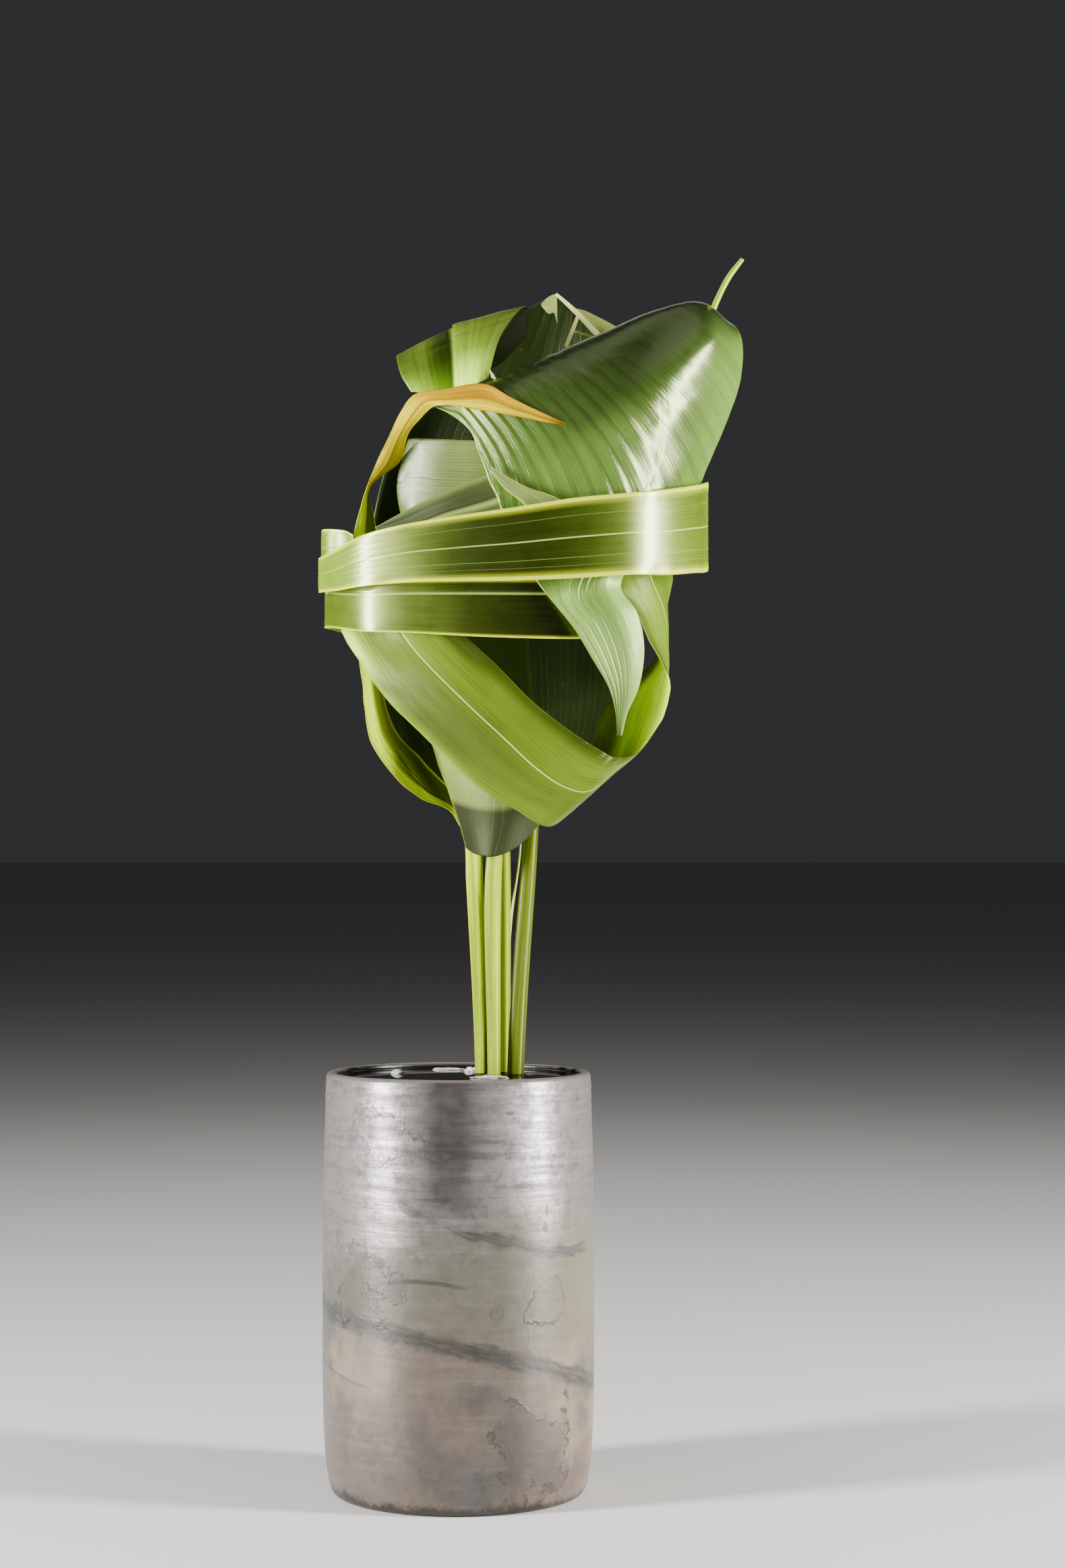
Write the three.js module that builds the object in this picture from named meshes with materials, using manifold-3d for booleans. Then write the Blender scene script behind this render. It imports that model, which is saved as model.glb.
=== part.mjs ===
// Ikebana arrangement: long leaves folded and woven into an open ball, on their own stems in a
// ceramic cylinder vase. Millimetres, +Z up, the viewer looks along +Y.
// The origin is the middle of the vase's foot.
import * as THREE from 'three';
import { mergeVertices } from 'three/addons/utils/BufferGeometryUtils.js';
import Module from 'manifold-3d';

const wasm = await Module();
wasm.setup();

// Vase
const VASE_HEIGHT = 184;
const VASE_WALL = 4;
const VASE_FLOOR = 8;
const VASE_OUTLINE = [[54.6, 1], [56.3, 4], [57.7, 11], [59.2, 32], [59.7, 88], [59.4, 135], [58.6, 165]];
const FOOT_RADIUS = 52.5;
const RIM_RADIUS = 57.7;
const RIM_ROUNDING = 1;
const FLOOR_CORNER = 1;
const TURNED_SIDES = 56;

// Water and the pin holder below it
const CLEARANCE = 0.3;
const WATER_LEVEL = 181.5;
const HOLDER_CENTRE = [17, 7];
const HOLDER_RADIUS = 30;
const HOLDER_THICKNESS = 9;
const PIN_LENGTH = 12;
const PIN_RADIUS = 1.1;
const PIN_TIP_RADIUS = 0.4;
const PIN_SPACING = 8;
const PIN_SIDES = 5;
const PIN_ROOT = 2;
// How far a pin's edge stays from a stalk's skin.
const PIN_ROOM = 1.6;

// Leaves
const LEAF_THICKNESS = 0.8;
const STALK_SIDES = 8;
const STALK_STEPS = 12;
const MERGE_DISTANCE = 1e-4;
const STALK_FOOT = VASE_FLOOR + CLEARANCE + HOLDER_THICKNESS + CLEARANCE;

const COLOURS = {
  glaze: 0x8a8385,
  water: 0x15181a,
  lead: 0x55585c,
  deepGreen: 0x3f5416,
  midGreen: 0x6f8a33,
  greyGreen: 0x7f9168,
  freshGreen: 0x8fa642,
  darkGreen: 0x26330f,
};

// Each stalk runs from the pin holder to its blade: [x, y, z, radius].
const STALKS = {
  left: [
    [10, 9, STALK_FOOT, 2.8], [10, 9, 183, 2.8], [7, 11, 266, 3.9], [6, 12, 284, 3.6], [2, 13, 297, 1.6],
  ],
  middle: [
    [15, 0, STALK_FOOT, 2.9], [15.5, 1, 183, 2.9], [15, 1, 265, 3.8], [17, -9, 294, 2.8],
    [19, -20.2, 314, 1.3],
  ],
  rear: [
    [19, 16, STALK_FOOT, 2.9], [20, 16, 183, 2.9], [20, 18, 262, 3.2], [20, 24, 296, 2.6], [20, 33, 316, 1.2],
  ],
  right: [
    [25, 4, STALK_FOOT, 3.9], [25, 5, 183, 3.9], [31, 4, 275, 3.4], [33, 8, 300, 2.6], [33, 15, 320, 1.2],
  ],
};

// Upright bands are given by their route in plan and their edges: [x, y, top, bottom].
const BELT_ROUTE = [
  [-60, -11.5, 408, 393], [-61, -13, 408, 393], [-58, -18, 409, 393], [-53, -24, 411, 393],
  [-42, -34, 416, 394], [-23, -44, 420, 395], [0, -52, 423, 395], [23, -56, 426, 395], [48, -56, 430, 396],
  [72, -50, 433, 398], [90, -38, 436, 399], [102, -25, 439, 401], [107, -15, 441, 402], [109, -11, 442, 403],
  [107, -6, 442, 404], [99, 18, 441, 408], [77, 39, 438, 408], [42, 49, 433, 405], [3, 47.8, 428, 401],
  [-28, 38, 424, 399], [-50, 18, 422, 399], [-59.6, -2, 421, 401], [-59.8, -8.6, 421, 403],
];
const BAND_ROUTE = [
  [70, 43, 388, 384], [56, 47, 392, 376], [28, 50.6, 396, 373], [-6, 47.8, 397, 374], [-34, 35, 397, 375],
  [-50, 13, 397, 377], [-57, -2, 398, 378], [-58.5, -6, 398, 378], [-57, -10, 398, 378], [-52, -18, 397, 377],
  [-41, -29, 396, 375], [-23, -38, 396, 374], [6, -46, 396, 372], [34, -48, 396, 371], [51, -46, 396, 371],
  [63, -43, 395, 372],
];

// Free leaves are given by stations across the blade, from its left edge to its right edge as seen
// from its upper side, looking from the first station to the tip.
const RIBBED_STATIONS = [
  [[14, -31, 483], [8, -34, 480], [-1, -35, 477], [-14, -33, 473]],
  [[28, -20, 489], [22, -34, 486], [10, -42, 475], [-4, -38, 468]],
  [[50, -12, 497], [43, -31, 496], [22, -47, 474], [5, -41, 460]],
  [[73, -5, 505], [63, -28, 505], [33, -49, 472], [8, -42, 452]],
  [[97, 5, 514], [85, -23, 515], [43, -50, 469], [11, -43, 444]],
  [[117, 7, 516], [104, -18, 519], [53, -50, 465], [13, -44, 438]],
  [[124, -8, 506], [108, -32, 500], [60, -50, 459], [16, -45, 432]],
  [[124, -6, 489], [108, -29, 482], [64, -49, 450], [18, -46, 426]],
  [[118, -6, 470], [103, -26, 461], [65, -48, 437], [21, -47, 417]],
  [[109, -7, 449], [93, -31, 440], [63, -48, 423], [27, -48, 406]],
  [[101, -19, 432], [84, -37, 423], [60, -49, 408], [34, -50, 394]],
  [[69, -46, 394], [61, -51, 394], [52, -52, 390], [41, -51, 385]],
  [[76, -47, 382], [68, -51, 381], [59, -52, 378], [49, -51, 375]],
  [[79, -45, 367], [73, -49, 366], [65, -50, 365], [57, -49, 362]],
  [[77, -43, 351], [73, -45, 350], [69, -46, 350], [64, -46, 350]],
  [[72, -40, 339], [71, -41, 339], [69, -42, 339], [67, -42, 340]],
  [[70, -37, 330], [69.4, -38, 330], [68.7, -38, 330], [68, -38, 330]],
];
// The pale cut stalk of the ribbed leaf, which stands up behind its shoulder.
const RIBBED_STUB = [
  [109, 3, 511, 1.4], [112.5, 5, 520, 1.4], [116, 6, 528, 1.3], [120, 7, 535.5, 1.3], [126, 8, 543.5, 1],
];

const LOOP_STATIONS = [
  [[9, 15, 288], [3, 10, 287]],
  [[2, 18, 302], [-4, 8, 298]],
  [[-8, 19, 312], [-17, 2, 304]],
  [[-18, 19, 323], [-29, -9, 314]],
  [[-27, 18, 332], [-38, -14, 328]],
  [[-32, 18, 344], [-41, -12, 343]],
  [[-35, 16, 362], [-43, -10, 362]],
  [[-36, 14, 380], [-46, -4, 379]],
  [[-37, 8, 397], [-48, -4, 396]],
  [[-35, -4, 414], [-47, -12, 412]],
  [[-37, -14, 426], [-43, -20, 428]],
  [[-37, -19, 437], [-40, -24, 439]],
  [[-29, -24, 448], [-36, -27, 447]],
  [[-22, -29, 460], [-30, -32, 459]],
  [[-17, -33, 466], [-25, -36, 469]],
  [[-11, -38, 471], [-19, -40, 476]],
  [[-4, -43, 471], [-6, -43, 478]],
  [[11, -48, 468], [11, -45, 480]],
  [[25, -52, 465], [23, -50, 473]],
  [[45, -54, 461], [45, -54, 462]],
];
const DIAGONAL_STATIONS = [
  [[-12, -39.5, 386], [-32, -32, 388], [-53, -12, 390]],
  [[3, -42, 372], [-23, -35.5, 372], [-51, -14, 376]],
  [[17, -42, 359], [-12, -37, 359], [-43, -18, 363]],
  [[32, -42, 344], [3, -40, 344], [-32, -23, 347]],
  [[46, -41, 333], [19, -42, 329], [-17, -27, 332]],
  [[55, -40, 327], [33, -42, 316], [6, -31, 310]],
  [[62, -38, 323], [45, -42, 308], [25, -32, 298]],
  [[66, -36, 321], [55, -41, 306], [39, -30, 291]],
  [[75, -33, 322], [68, -34, 315], [55, -12, 306]],
  [[82, -31, 329], [79, -26, 325], [62, 2, 320]],
  [[89, -29, 340], [85, -16, 337], [67, 6, 331]],
  [[91, -28, 354], [89, -11, 352], [75, 7, 347]],
  [[88, -31, 361], [91.5, -12, 362], [84, 7, 362]],
  [[82, -35, 371], [91, -17, 372], [90, 4, 373]],
  [[75, -38, 384], [89, -22, 385], [92, 4, 387]],
  [[64, -40, 397], [83, -30, 398], [94, 0, 400]],
  [[60, -40, 410], [79, -32, 411], [94, -2, 414]],
];
const CONE_STATIONS = [
  [[3, 4, 282], [8, -7, 279], [15, -12, 278], [25, -10, 282], [35, -2, 292]],
  [[0, 3, 294], [7, -9, 291], [18, -15, 290], [29, -12, 294], [38, -2, 299]],
  [[-4, 2, 305], [6, -12, 302], [19, -18, 301], [32, -15, 304], [42, -2, 308]],
  [[-9, 1, 318], [4, -15, 316], [20, -21, 316], [37, -17, 318], [49, -1, 320]],
  [[-12, 0, 328], [3, -18, 328], [21, -24, 328], [40, -18, 327], [51, 0, 329]],
];
const FOLD_STATIONS = [
  [[-19, 6, 488], [-27, -8, 495], [-24, -20, 486], [-20, -25, 479]],
  [[-12, 10, 490], [-15, -12, 502], [-12, -27, 489], [-9, -32, 478]],
  [[-3, 12, 492], [-4, -14, 508], [-2, -24, 495], [0, -32, 480]],
  [[4, 12, 492], [3, -14, 510], [3, -27, 494], [4, -32.8, 480]],
  [[18, 14, 496], [16, -10, 515], [12, -25, 497], [9, -33.4, 482]],
  [[32, 16, 508], [31, 2, 522], [19, -17, 504], [12, -28, 483]],
];
const INNER_BAND_STATIONS = [
  [[10, -12, 456], [8, -12, 432]],
  [[-10, -14, 458], [-12, -14, 430]],
  [[-19, -18, 459], [-23, -18, 428]],
  [[-22, -21, 459], [-26, -21, 427]],
  [[-19, -25, 459], [-23, -25, 426]],
  [[-9, -31, 458], [-11, -31, 424]],
  [[7, -34.5, 457], [6, -34.5, 423]],
  [[21, -35, 457], [21, -35, 423]],
];
const INNER_DIAGONAL_STATIONS = [
  [[-36, -30, 420], [-35, -30, 417]],
  [[-23, -31, 427], [-23, -35, 410]],
  [[-6, -34.5, 435], [-6, -39, 412]],
  [[12, -36.6, 442], [11, -42.5, 414]],
  [[27, -38, 449], [27, -46.4, 417]],
];
const SMALL_TIP_STATIONS = [
  [[14, -48, 444], [13, -48, 443]],
  [[27, -51, 436], [19, -51, 435]],
  [[44, -53, 429], [28, -53, 427]],
  [[56, -53, 415], [36, -53, 413]],
];
const INTERIOR_STATIONS = [
  [[28, 8, 300], [32, 8.5, 300], [36, 8, 300]],
  [[10, 10, 322], [34, 16, 322], [60, 13, 322]],
  [[-2, 6, 350], [32, 17, 350], [70, 12, 346]],
  [[-6, 2, 385], [30, 16, 385], [72, 8, 385]],
  [[-4, 2, 425], [30, 14, 425], [68, 5, 425]],
  [[4, 4, 460], [32, 10, 460], [56, 4, 460]],
  [[20, 8, 488], [32, 9, 490], [42, 8, 488]],
];
const BACK_STATIONS = [
  [[25, 25, 300], [20, 26, 300], [15, 25, 300]],
  [[54, 27, 322], [20, 37, 320], [-22, 26, 317]],
  [[77, 23, 350], [21, 43, 348], [-36, 25, 345]],
  [[83, 20, 385], [22, 46.5, 385], [-41.6, 24.4, 385]],
  [[86, 17, 425], [22, 47.8, 425], [-39, 24, 425]],
  [[84, 16, 465], [24, 42, 465], [-28, 26, 465]],
  [[78, 20, 500], [34, 36, 502], [-6, 30, 500]],
  [[70, 25, 517], [47, 24, 529], [25, 27, 523]],
];

function closedGeometry(positions, triangles) {
  const geometry = new THREE.BufferGeometry();
  geometry.setAttribute('position', new THREE.Float32BufferAttribute(positions, 3));
  geometry.setIndex(triangles);
  return geometry;
}

function toSolid(geometry) {
  const bare = geometry.clone();
  bare.deleteAttribute('normal');
  bare.deleteAttribute('uv');
  const merged = mergeVertices(bare, MERGE_DISTANCE);
  return new wasm.Manifold(new wasm.Mesh({
    numProp: 3,
    vertProperties: new Float32Array(merged.attributes.position.array),
    triVerts: new Uint32Array(merged.index.array),
  }));
}

function toGeometry(solid) {
  const mesh = solid.getMesh();
  return closedGeometry(Array.from(mesh.vertProperties), Array.from(mesh.triVerts));
}

function smoothCurve(points) {
  return new THREE.CatmullRomCurve3(points, false, 'centripetal');
}

// The smooth sheet through the stations: a grid of points, rows along the blade.
function sheetGrid(stations, stepsAlong, stepsAcross) {
  const across = stations.map((station) => {
    const curve = smoothCurve(station.map((point) => new THREE.Vector3(...point)));
    return Array.from({ length: stepsAcross + 1 }, (_, j) => curve.getPoint(j / stepsAcross));
  });
  const columns = across[0].map((_, j) => smoothCurve(across.map((row) => row[j])));
  const last = (stations.length - 1) * stepsAlong;
  return Array.from({ length: last + 1 }, (_, i) => columns.map((column) => column.getPoint(i / last)));
}

// The direction out of the upper side at one point of the grid.
function gridNormal(grid, i, j) {
  const lastRow = grid.length - 1;
  const lastColumn = grid[0].length - 1;
  const along = grid[Math.min(i + 1, lastRow)][j].clone().sub(grid[Math.max(i - 1, 0)][j]);
  const across = grid[i][Math.min(j + 1, lastColumn)].clone().sub(grid[i][Math.max(j - 1, 0)]);
  return across.cross(along).normalize();
}

// A blade of even thickness on both sides of the sheet, split alike on its two faces.
function blade(stations, stepsAlong, stepsAcross) {
  const grid = sheetGrid(stations, stepsAlong, stepsAcross);
  const rows = grid.length;
  const columns = grid[0].length;
  const positions = [];
  for (const side of [1, -1]) {
    for (let i = 0; i < rows; i += 1) {
      for (let j = 0; j < columns; j += 1) {
        const offset = gridNormal(grid, i, j).multiplyScalar(side * LEAF_THICKNESS / 2);
        positions.push(...grid[i][j].clone().add(offset).toArray());
      }
    }
  }
  const under = rows * columns;
  const at = (i, j) => i * columns + j;
  const triangles = [];
  for (let i = 0; i < rows - 1; i += 1) {
    for (let j = 0; j < columns - 1; j += 1) {
      const [a, b, c, d] = [at(i, j), at(i, j + 1), at(i + 1, j + 1), at(i + 1, j)];
      triangles.push(a, b, c, a, c, d);
      triangles.push(under + a, under + c, under + b, under + a, under + d, under + c);
    }
  }
  const rim = [];
  for (let j = 0; j < columns - 1; j += 1) {
    rim.push(at(0, j));
  }
  for (let i = 0; i < rows - 1; i += 1) {
    rim.push(at(i, columns - 1));
  }
  for (let j = columns - 1; j > 0; j -= 1) {
    rim.push(at(rows - 1, j));
  }
  for (let i = rows - 1; i > 0; i -= 1) {
    rim.push(at(i, 0));
  }
  rim.forEach((a, k) => {
    const b = rim[(k + 1) % rim.length];
    triangles.push(a, under + a, under + b, a, under + b, b);
  });
  return closedGeometry(positions, triangles);
}

function uprightStations(route) {
  return route.map(([x, y, top, bottom]) => [[x, y, top], [x, y, bottom]]);
}

// A round stalk through [x, y, z, radius] points, made thicker by extra.
function stalk(points, extra = 0) {
  const path = smoothCurve(points.map(([x, y, z]) => new THREE.Vector3(x, y, z)));
  const size = smoothCurve(points.map(([, , , radius], k) => new THREE.Vector3(k, radius, 0)));
  const forward = new THREE.Vector3(0, 1, 0);
  const positions = [];
  for (let i = 0; i <= STALK_STEPS; i += 1) {
    const centre = path.getPoint(i / STALK_STEPS);
    const tangent = path.getTangent(i / STALK_STEPS);
    const side = tangent.clone().cross(forward).normalize();
    const front = side.clone().cross(tangent).normalize();
    const radius = size.getPoint(i / STALK_STEPS).y + extra;
    for (let k = 0; k < STALK_SIDES; k += 1) {
      const angle = 2 * Math.PI * k / STALK_SIDES;
      const point = centre.clone().addScaledVector(side, radius * Math.cos(angle));
      positions.push(...point.addScaledVector(front, radius * Math.sin(angle)).toArray());
    }
  }
  const first = positions.length / 3;
  positions.push(...path.getPoint(0).toArray(), ...path.getPoint(1).toArray());
  const triangles = [];
  const lastRing = STALK_STEPS * STALK_SIDES;
  for (let k = 0; k < STALK_SIDES; k += 1) {
    const next = (k + 1) % STALK_SIDES;
    for (let ring = 0; ring < lastRing; ring += STALK_SIDES) {
      triangles.push(ring + k, ring + STALK_SIDES + k, ring + STALK_SIDES + next);
      triangles.push(ring + k, ring + STALK_SIDES + next, ring + next);
    }
    triangles.push(first, k, next);
    triangles.push(first + 1, lastRing + next, lastRing + k);
  }
  return closedGeometry(positions, triangles);
}

// A leaf is its blade, grown together with its stalk if it has one.
function leafSolid({ stations, along, across, stem }) {
  const leaf = toSolid(blade(stations, along, across));
  return stem ? leaf.add(toSolid(stalk(stem))) : leaf;
}

function turned(profile) {
  const outline = profile.map(([r, z]) => new THREE.Vector2(r, z));
  const geometry = new THREE.LatheGeometry(outline, TURNED_SIDES);
  return toSolid(geometry.rotateX(Math.PI / 2));
}

// The inner wall follows the outer one at the wall's thickness, from the floor to the rim.
function innerWall(gap) {
  const outer = VASE_OUTLINE.filter(([, z]) => z > VASE_FLOOR);
  const wall = outer.map(([r, z]) => [r - VASE_WALL - gap, z + gap]);
  return [[wall[0][0] - FLOOR_CORNER, VASE_FLOOR + gap], ...wall];
}

function vaseSolid() {
  const inside = innerWall(0).reverse();
  const rimInside = RIM_RADIUS - VASE_WALL;
  const rim = [
    [RIM_RADIUS, VASE_HEIGHT - RIM_ROUNDING],
    [RIM_RADIUS - RIM_ROUNDING, VASE_HEIGHT],
    [rimInside + RIM_ROUNDING, VASE_HEIGHT],
    [rimInside, VASE_HEIGHT - RIM_ROUNDING],
  ];
  return turned([[0, 0], [FOOT_RADIUS, 0], ...VASE_OUTLINE, ...rim, ...inside, [0, VASE_FLOOR]]);
}

function waterSolid() {
  const wall = innerWall(CLEARANCE);
  const surfaceRadius = RIM_RADIUS - VASE_WALL - CLEARANCE;
  const base = VASE_FLOOR + CLEARANCE;
  let water = turned([[0, base], ...wall, [surfaceRadius, WATER_LEVEL], [0, WATER_LEVEL]]);
  const pocketTop = base + HOLDER_THICKNESS + PIN_LENGTH + CLEARANCE;
  const pocketRadius = HOLDER_RADIUS + CLEARANCE;
  const pocket = turned([[0, 0], [pocketRadius, 0], [pocketRadius, pocketTop], [0, pocketTop]]);
  water = water.subtract(pocket.translate([...HOLDER_CENTRE, 0]));
  for (const points of Object.values(STALKS)) {
    water = water.subtract(toSolid(stalk(points, CLEARANCE)));
  }
  return water;
}

// Where a stalk stands on the plate, there is no pin.
function isUnderStalk(x, y) {
  return Object.values(STALKS).some(([[footX, footY, , radius]]) => {
    return Math.hypot(x - footX, y - footY) < radius + PIN_ROOM + PIN_RADIUS;
  });
}

function pinHolderSolid() {
  const base = VASE_FLOOR + CLEARANCE;
  const top = base + HOLDER_THICKNESS;
  const [cx, cy] = HOLDER_CENTRE;
  let holder = turned([[0, base], [HOLDER_RADIUS, base], [HOLDER_RADIUS, top], [0, top]]);
  holder = holder.translate([cx, cy, 0]);
  const rowPitch = PIN_SPACING * Math.sqrt(3) / 2;
  const reach = Math.floor(HOLDER_RADIUS / rowPitch);
  for (let row = -reach; row <= reach; row += 1) {
    for (let step = -reach; step <= reach; step += 1) {
      const x = (step + (row % 2) / 2) * PIN_SPACING;
      const y = row * rowPitch;
      const outside = Math.hypot(x, y) > HOLDER_RADIUS - PIN_SPACING / 2;
      if (outside || isUnderStalk(cx + x, cy + y)) {
        continue;
      }
      const length = PIN_LENGTH + PIN_ROOT;
      const pin = new THREE.CylinderGeometry(PIN_TIP_RADIUS, PIN_RADIUS, length, PIN_SIDES);
      pin.rotateX(Math.PI / 2);
      pin.translate(cx + x, cy + y, top + (PIN_LENGTH - PIN_ROOT) / 2);
      holder = holder.add(toSolid(pin));
    }
  }
  return holder;
}

// along counts the facets between two stations, and across those over the width.
const LEAVES = {
  leaf_belt: { stations: uprightStations(BELT_ROUTE), along: 2, across: 3, colour: COLOURS.midGreen },
  leaf_band: { stations: uprightStations(BAND_ROUTE), along: 2, across: 3, colour: COLOURS.midGreen },
  leaf_ribbed: { stations: RIBBED_STATIONS, along: 2, across: 8, stem: RIBBED_STUB, colour: COLOURS.deepGreen },
  leaf_loop: { stations: LOOP_STATIONS, along: 2, across: 3, stem: STALKS.left, colour: COLOURS.freshGreen },
  leaf_diagonal: { stations: DIAGONAL_STATIONS, along: 2, across: 6, colour: COLOURS.midGreen },
  leaf_cone: { stations: CONE_STATIONS, along: 4, across: 8, stem: STALKS.middle, colour: COLOURS.greyGreen },
  leaf_fold: { stations: FOLD_STATIONS, along: 3, across: 6, colour: COLOURS.greyGreen },
  leaf_inner_band: { stations: INNER_BAND_STATIONS, along: 2, across: 3, colour: COLOURS.greyGreen },
  leaf_inner_diagonal: {
    stations: INNER_DIAGONAL_STATIONS, along: 3, across: 4, colour: COLOURS.deepGreen,
  },
  leaf_small_tip: { stations: SMALL_TIP_STATIONS, along: 3, across: 3, colour: COLOURS.midGreen },
  leaf_interior: {
    stations: INTERIOR_STATIONS, along: 3, across: 4, stem: STALKS.right, colour: COLOURS.darkGreen,
  },
  leaf_back: { stations: BACK_STATIONS, along: 3, across: 6, stem: STALKS.rear, colour: COLOURS.deepGreen },
};

const FINISHES = {
  glaze: { roughness: 0.45, metalness: 0 },
  water: { roughness: 0.1, metalness: 0 },
  lead: { roughness: 0.5, metalness: 0.8 },
  leaf: { roughness: 0.4, metalness: 0 },
};

function named(name, solid, color, finish) {
  const mesh = new THREE.Mesh(toGeometry(solid), new THREE.MeshStandardMaterial({ color, ...finish }));
  mesh.name = name;
  return mesh;
}

const arrangement = new THREE.Group();
arrangement.add(named('vase', vaseSolid(), COLOURS.glaze, FINISHES.glaze));
arrangement.add(named('water', waterSolid(), COLOURS.water, FINISHES.water));
arrangement.add(named('pin_holder', pinHolderSolid(), COLOURS.lead, FINISHES.lead));
for (const [name, leaf] of Object.entries(LEAVES)) {
  arrangement.add(named(name, leafSolid(leaf), leaf.colour, FINISHES.leaf));
}

export default arrangement;
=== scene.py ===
"""Ikebana arrangement: folded and woven leaves in a ceramic cylinder vase, dressed around its frame."""

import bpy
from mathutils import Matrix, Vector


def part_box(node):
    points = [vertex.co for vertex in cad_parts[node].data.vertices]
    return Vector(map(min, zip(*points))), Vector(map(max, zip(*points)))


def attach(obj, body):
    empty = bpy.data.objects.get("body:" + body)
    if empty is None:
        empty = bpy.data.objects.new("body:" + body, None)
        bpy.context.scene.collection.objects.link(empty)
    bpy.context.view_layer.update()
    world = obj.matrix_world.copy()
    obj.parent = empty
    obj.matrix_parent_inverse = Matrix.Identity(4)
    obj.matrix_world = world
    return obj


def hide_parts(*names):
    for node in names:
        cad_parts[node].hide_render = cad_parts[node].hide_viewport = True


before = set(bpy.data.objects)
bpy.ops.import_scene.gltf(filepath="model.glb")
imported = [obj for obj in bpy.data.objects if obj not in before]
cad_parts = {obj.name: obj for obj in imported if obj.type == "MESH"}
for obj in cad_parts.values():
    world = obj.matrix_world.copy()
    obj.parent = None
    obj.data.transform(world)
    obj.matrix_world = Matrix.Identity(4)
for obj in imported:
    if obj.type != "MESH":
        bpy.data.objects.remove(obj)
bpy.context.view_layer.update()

import functools
import math
import random

import bpy
import numpy as np
from bpy.props import FloatProperty, FloatVectorProperty
from mathutils import Vector

bl_info = {
    "name": "Ikebana Arrangement",
    "version": (1, 0, 0),
    "blender": (4, 5, 0),
    "location": "3D View > Sidebar > Ikebana",
    "description": "Folded and woven leaves on their stems in a ceramic cylinder vase",
    "category": "Object",
}

MM = 0.001
FULL_TURN = 2 * math.pi
BODY = "root"

# The water's level and the vase's rim, as the frame has them.
WATER_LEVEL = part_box("water")[1].z
VASE_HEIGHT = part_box("vase")[1].z
FLOOR_TOP = 0.0
CLEARANCE = 0.0003

# The photograph's view, solved from the ellipses of the vase.
CAMERA_DISTANCE = 1.395
CAMERA_HEIGHT = 0.285
CAMERA_TURN = math.radians(1.334)
CAMERA_TILT = math.radians(1.024)
CAMERA_LENS = 72.8

# Stalks from the pin holder to the blade, as [x, y, z, radius] in millimetres.
STALK_FOOT = (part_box("leaf_loop")[0].z) / MM
STALKS = {
    "left": [[10, 9, STALK_FOOT, 2.8], [10, 9, 183, 2.8], [7, 11, 266, 3.9], [6, 12, 284, 3.6],
             [2, 13, 297, 1.6]],
    "middle": [[15, 0, STALK_FOOT, 2.9], [15.5, 1, 183, 2.9], [15, 1, 265, 3.8], [17, -9, 294, 2.8],
               [19, -20.2, 314, 1.3]],
    "rear": [[19, 16, STALK_FOOT, 2.9], [20, 16, 183, 2.9], [20, 18, 262, 3.2], [20, 24, 296, 2.6],
             [20, 33, 316, 1.2]],
    "right": [[25, 4, STALK_FOOT, 3.9], [25, 5, 183, 3.9], [31, 4, 275, 3.4], [33, 8, 300, 2.6],
              [33, 15, 320, 1.2]],
}
RIBBED_STUB = [[109, 3, 511, 1.4], [112.5, 5, 520, 1.4], [116, 6, 528, 1.3], [120, 7, 535.5, 1.3],
               [126, 8, 543.5, 1]]
SLIVER = [[21, 25, 178, 0.5], [21.5, 25, 215, 0.55], [23.5, 24, 250, 0.55], [27, 23, 276, 0.5],
          [29, 24, 300, 0.3]]

# Upright bands, as [x, y, top, bottom] along their route in plan, in millimetres.
BELT_ROUTE = [
    [-60, -11.5, 408, 393], [-61, -13, 408, 393], [-58, -18, 409, 393], [-53, -24, 411, 393],
    [-42, -34, 416, 394], [-23, -44, 420, 395], [0, -52, 423, 395], [23, -56, 426, 395],
    [48, -56, 430, 396], [72, -50, 433, 398], [90, -38, 436, 399], [102, -25, 439, 401],
    [107, -15, 441, 402], [109, -11, 442, 403], [107, -6, 442, 404], [99, 18, 441, 408], [77, 39, 438, 408],
    [42, 49, 433, 405], [3, 47.8, 428, 401], [-28, 38, 424, 399], [-50, 18, 422, 399],
    [-59.6, -2, 421, 401], [-59.9, -8, 421, 403], [-58.4, -11, 421, 404], [-54, -14.5, 420.6, 405],
    [-49, -18, 419.6, 406], [-45.5, -21, 417.5, 407],
]
BAND_ROUTE = [
    [70, 43, 388, 384], [56, 47, 392, 376], [28, 50.6, 396, 373], [-6, 47.8, 397, 374], [-34, 35, 397, 375],
    [-50, 13, 397, 377], [-57, -2, 398, 378], [-58.5, -6, 398, 378], [-57, -10, 398, 378],
    [-52, -18, 397, 377], [-41, -29, 396, 375], [-23, -38, 396, 374], [6, -46, 396, 372],
    [34, -48, 396, 371], [51, -46, 396, 371], [63, -43, 395, 372],
]

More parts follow.
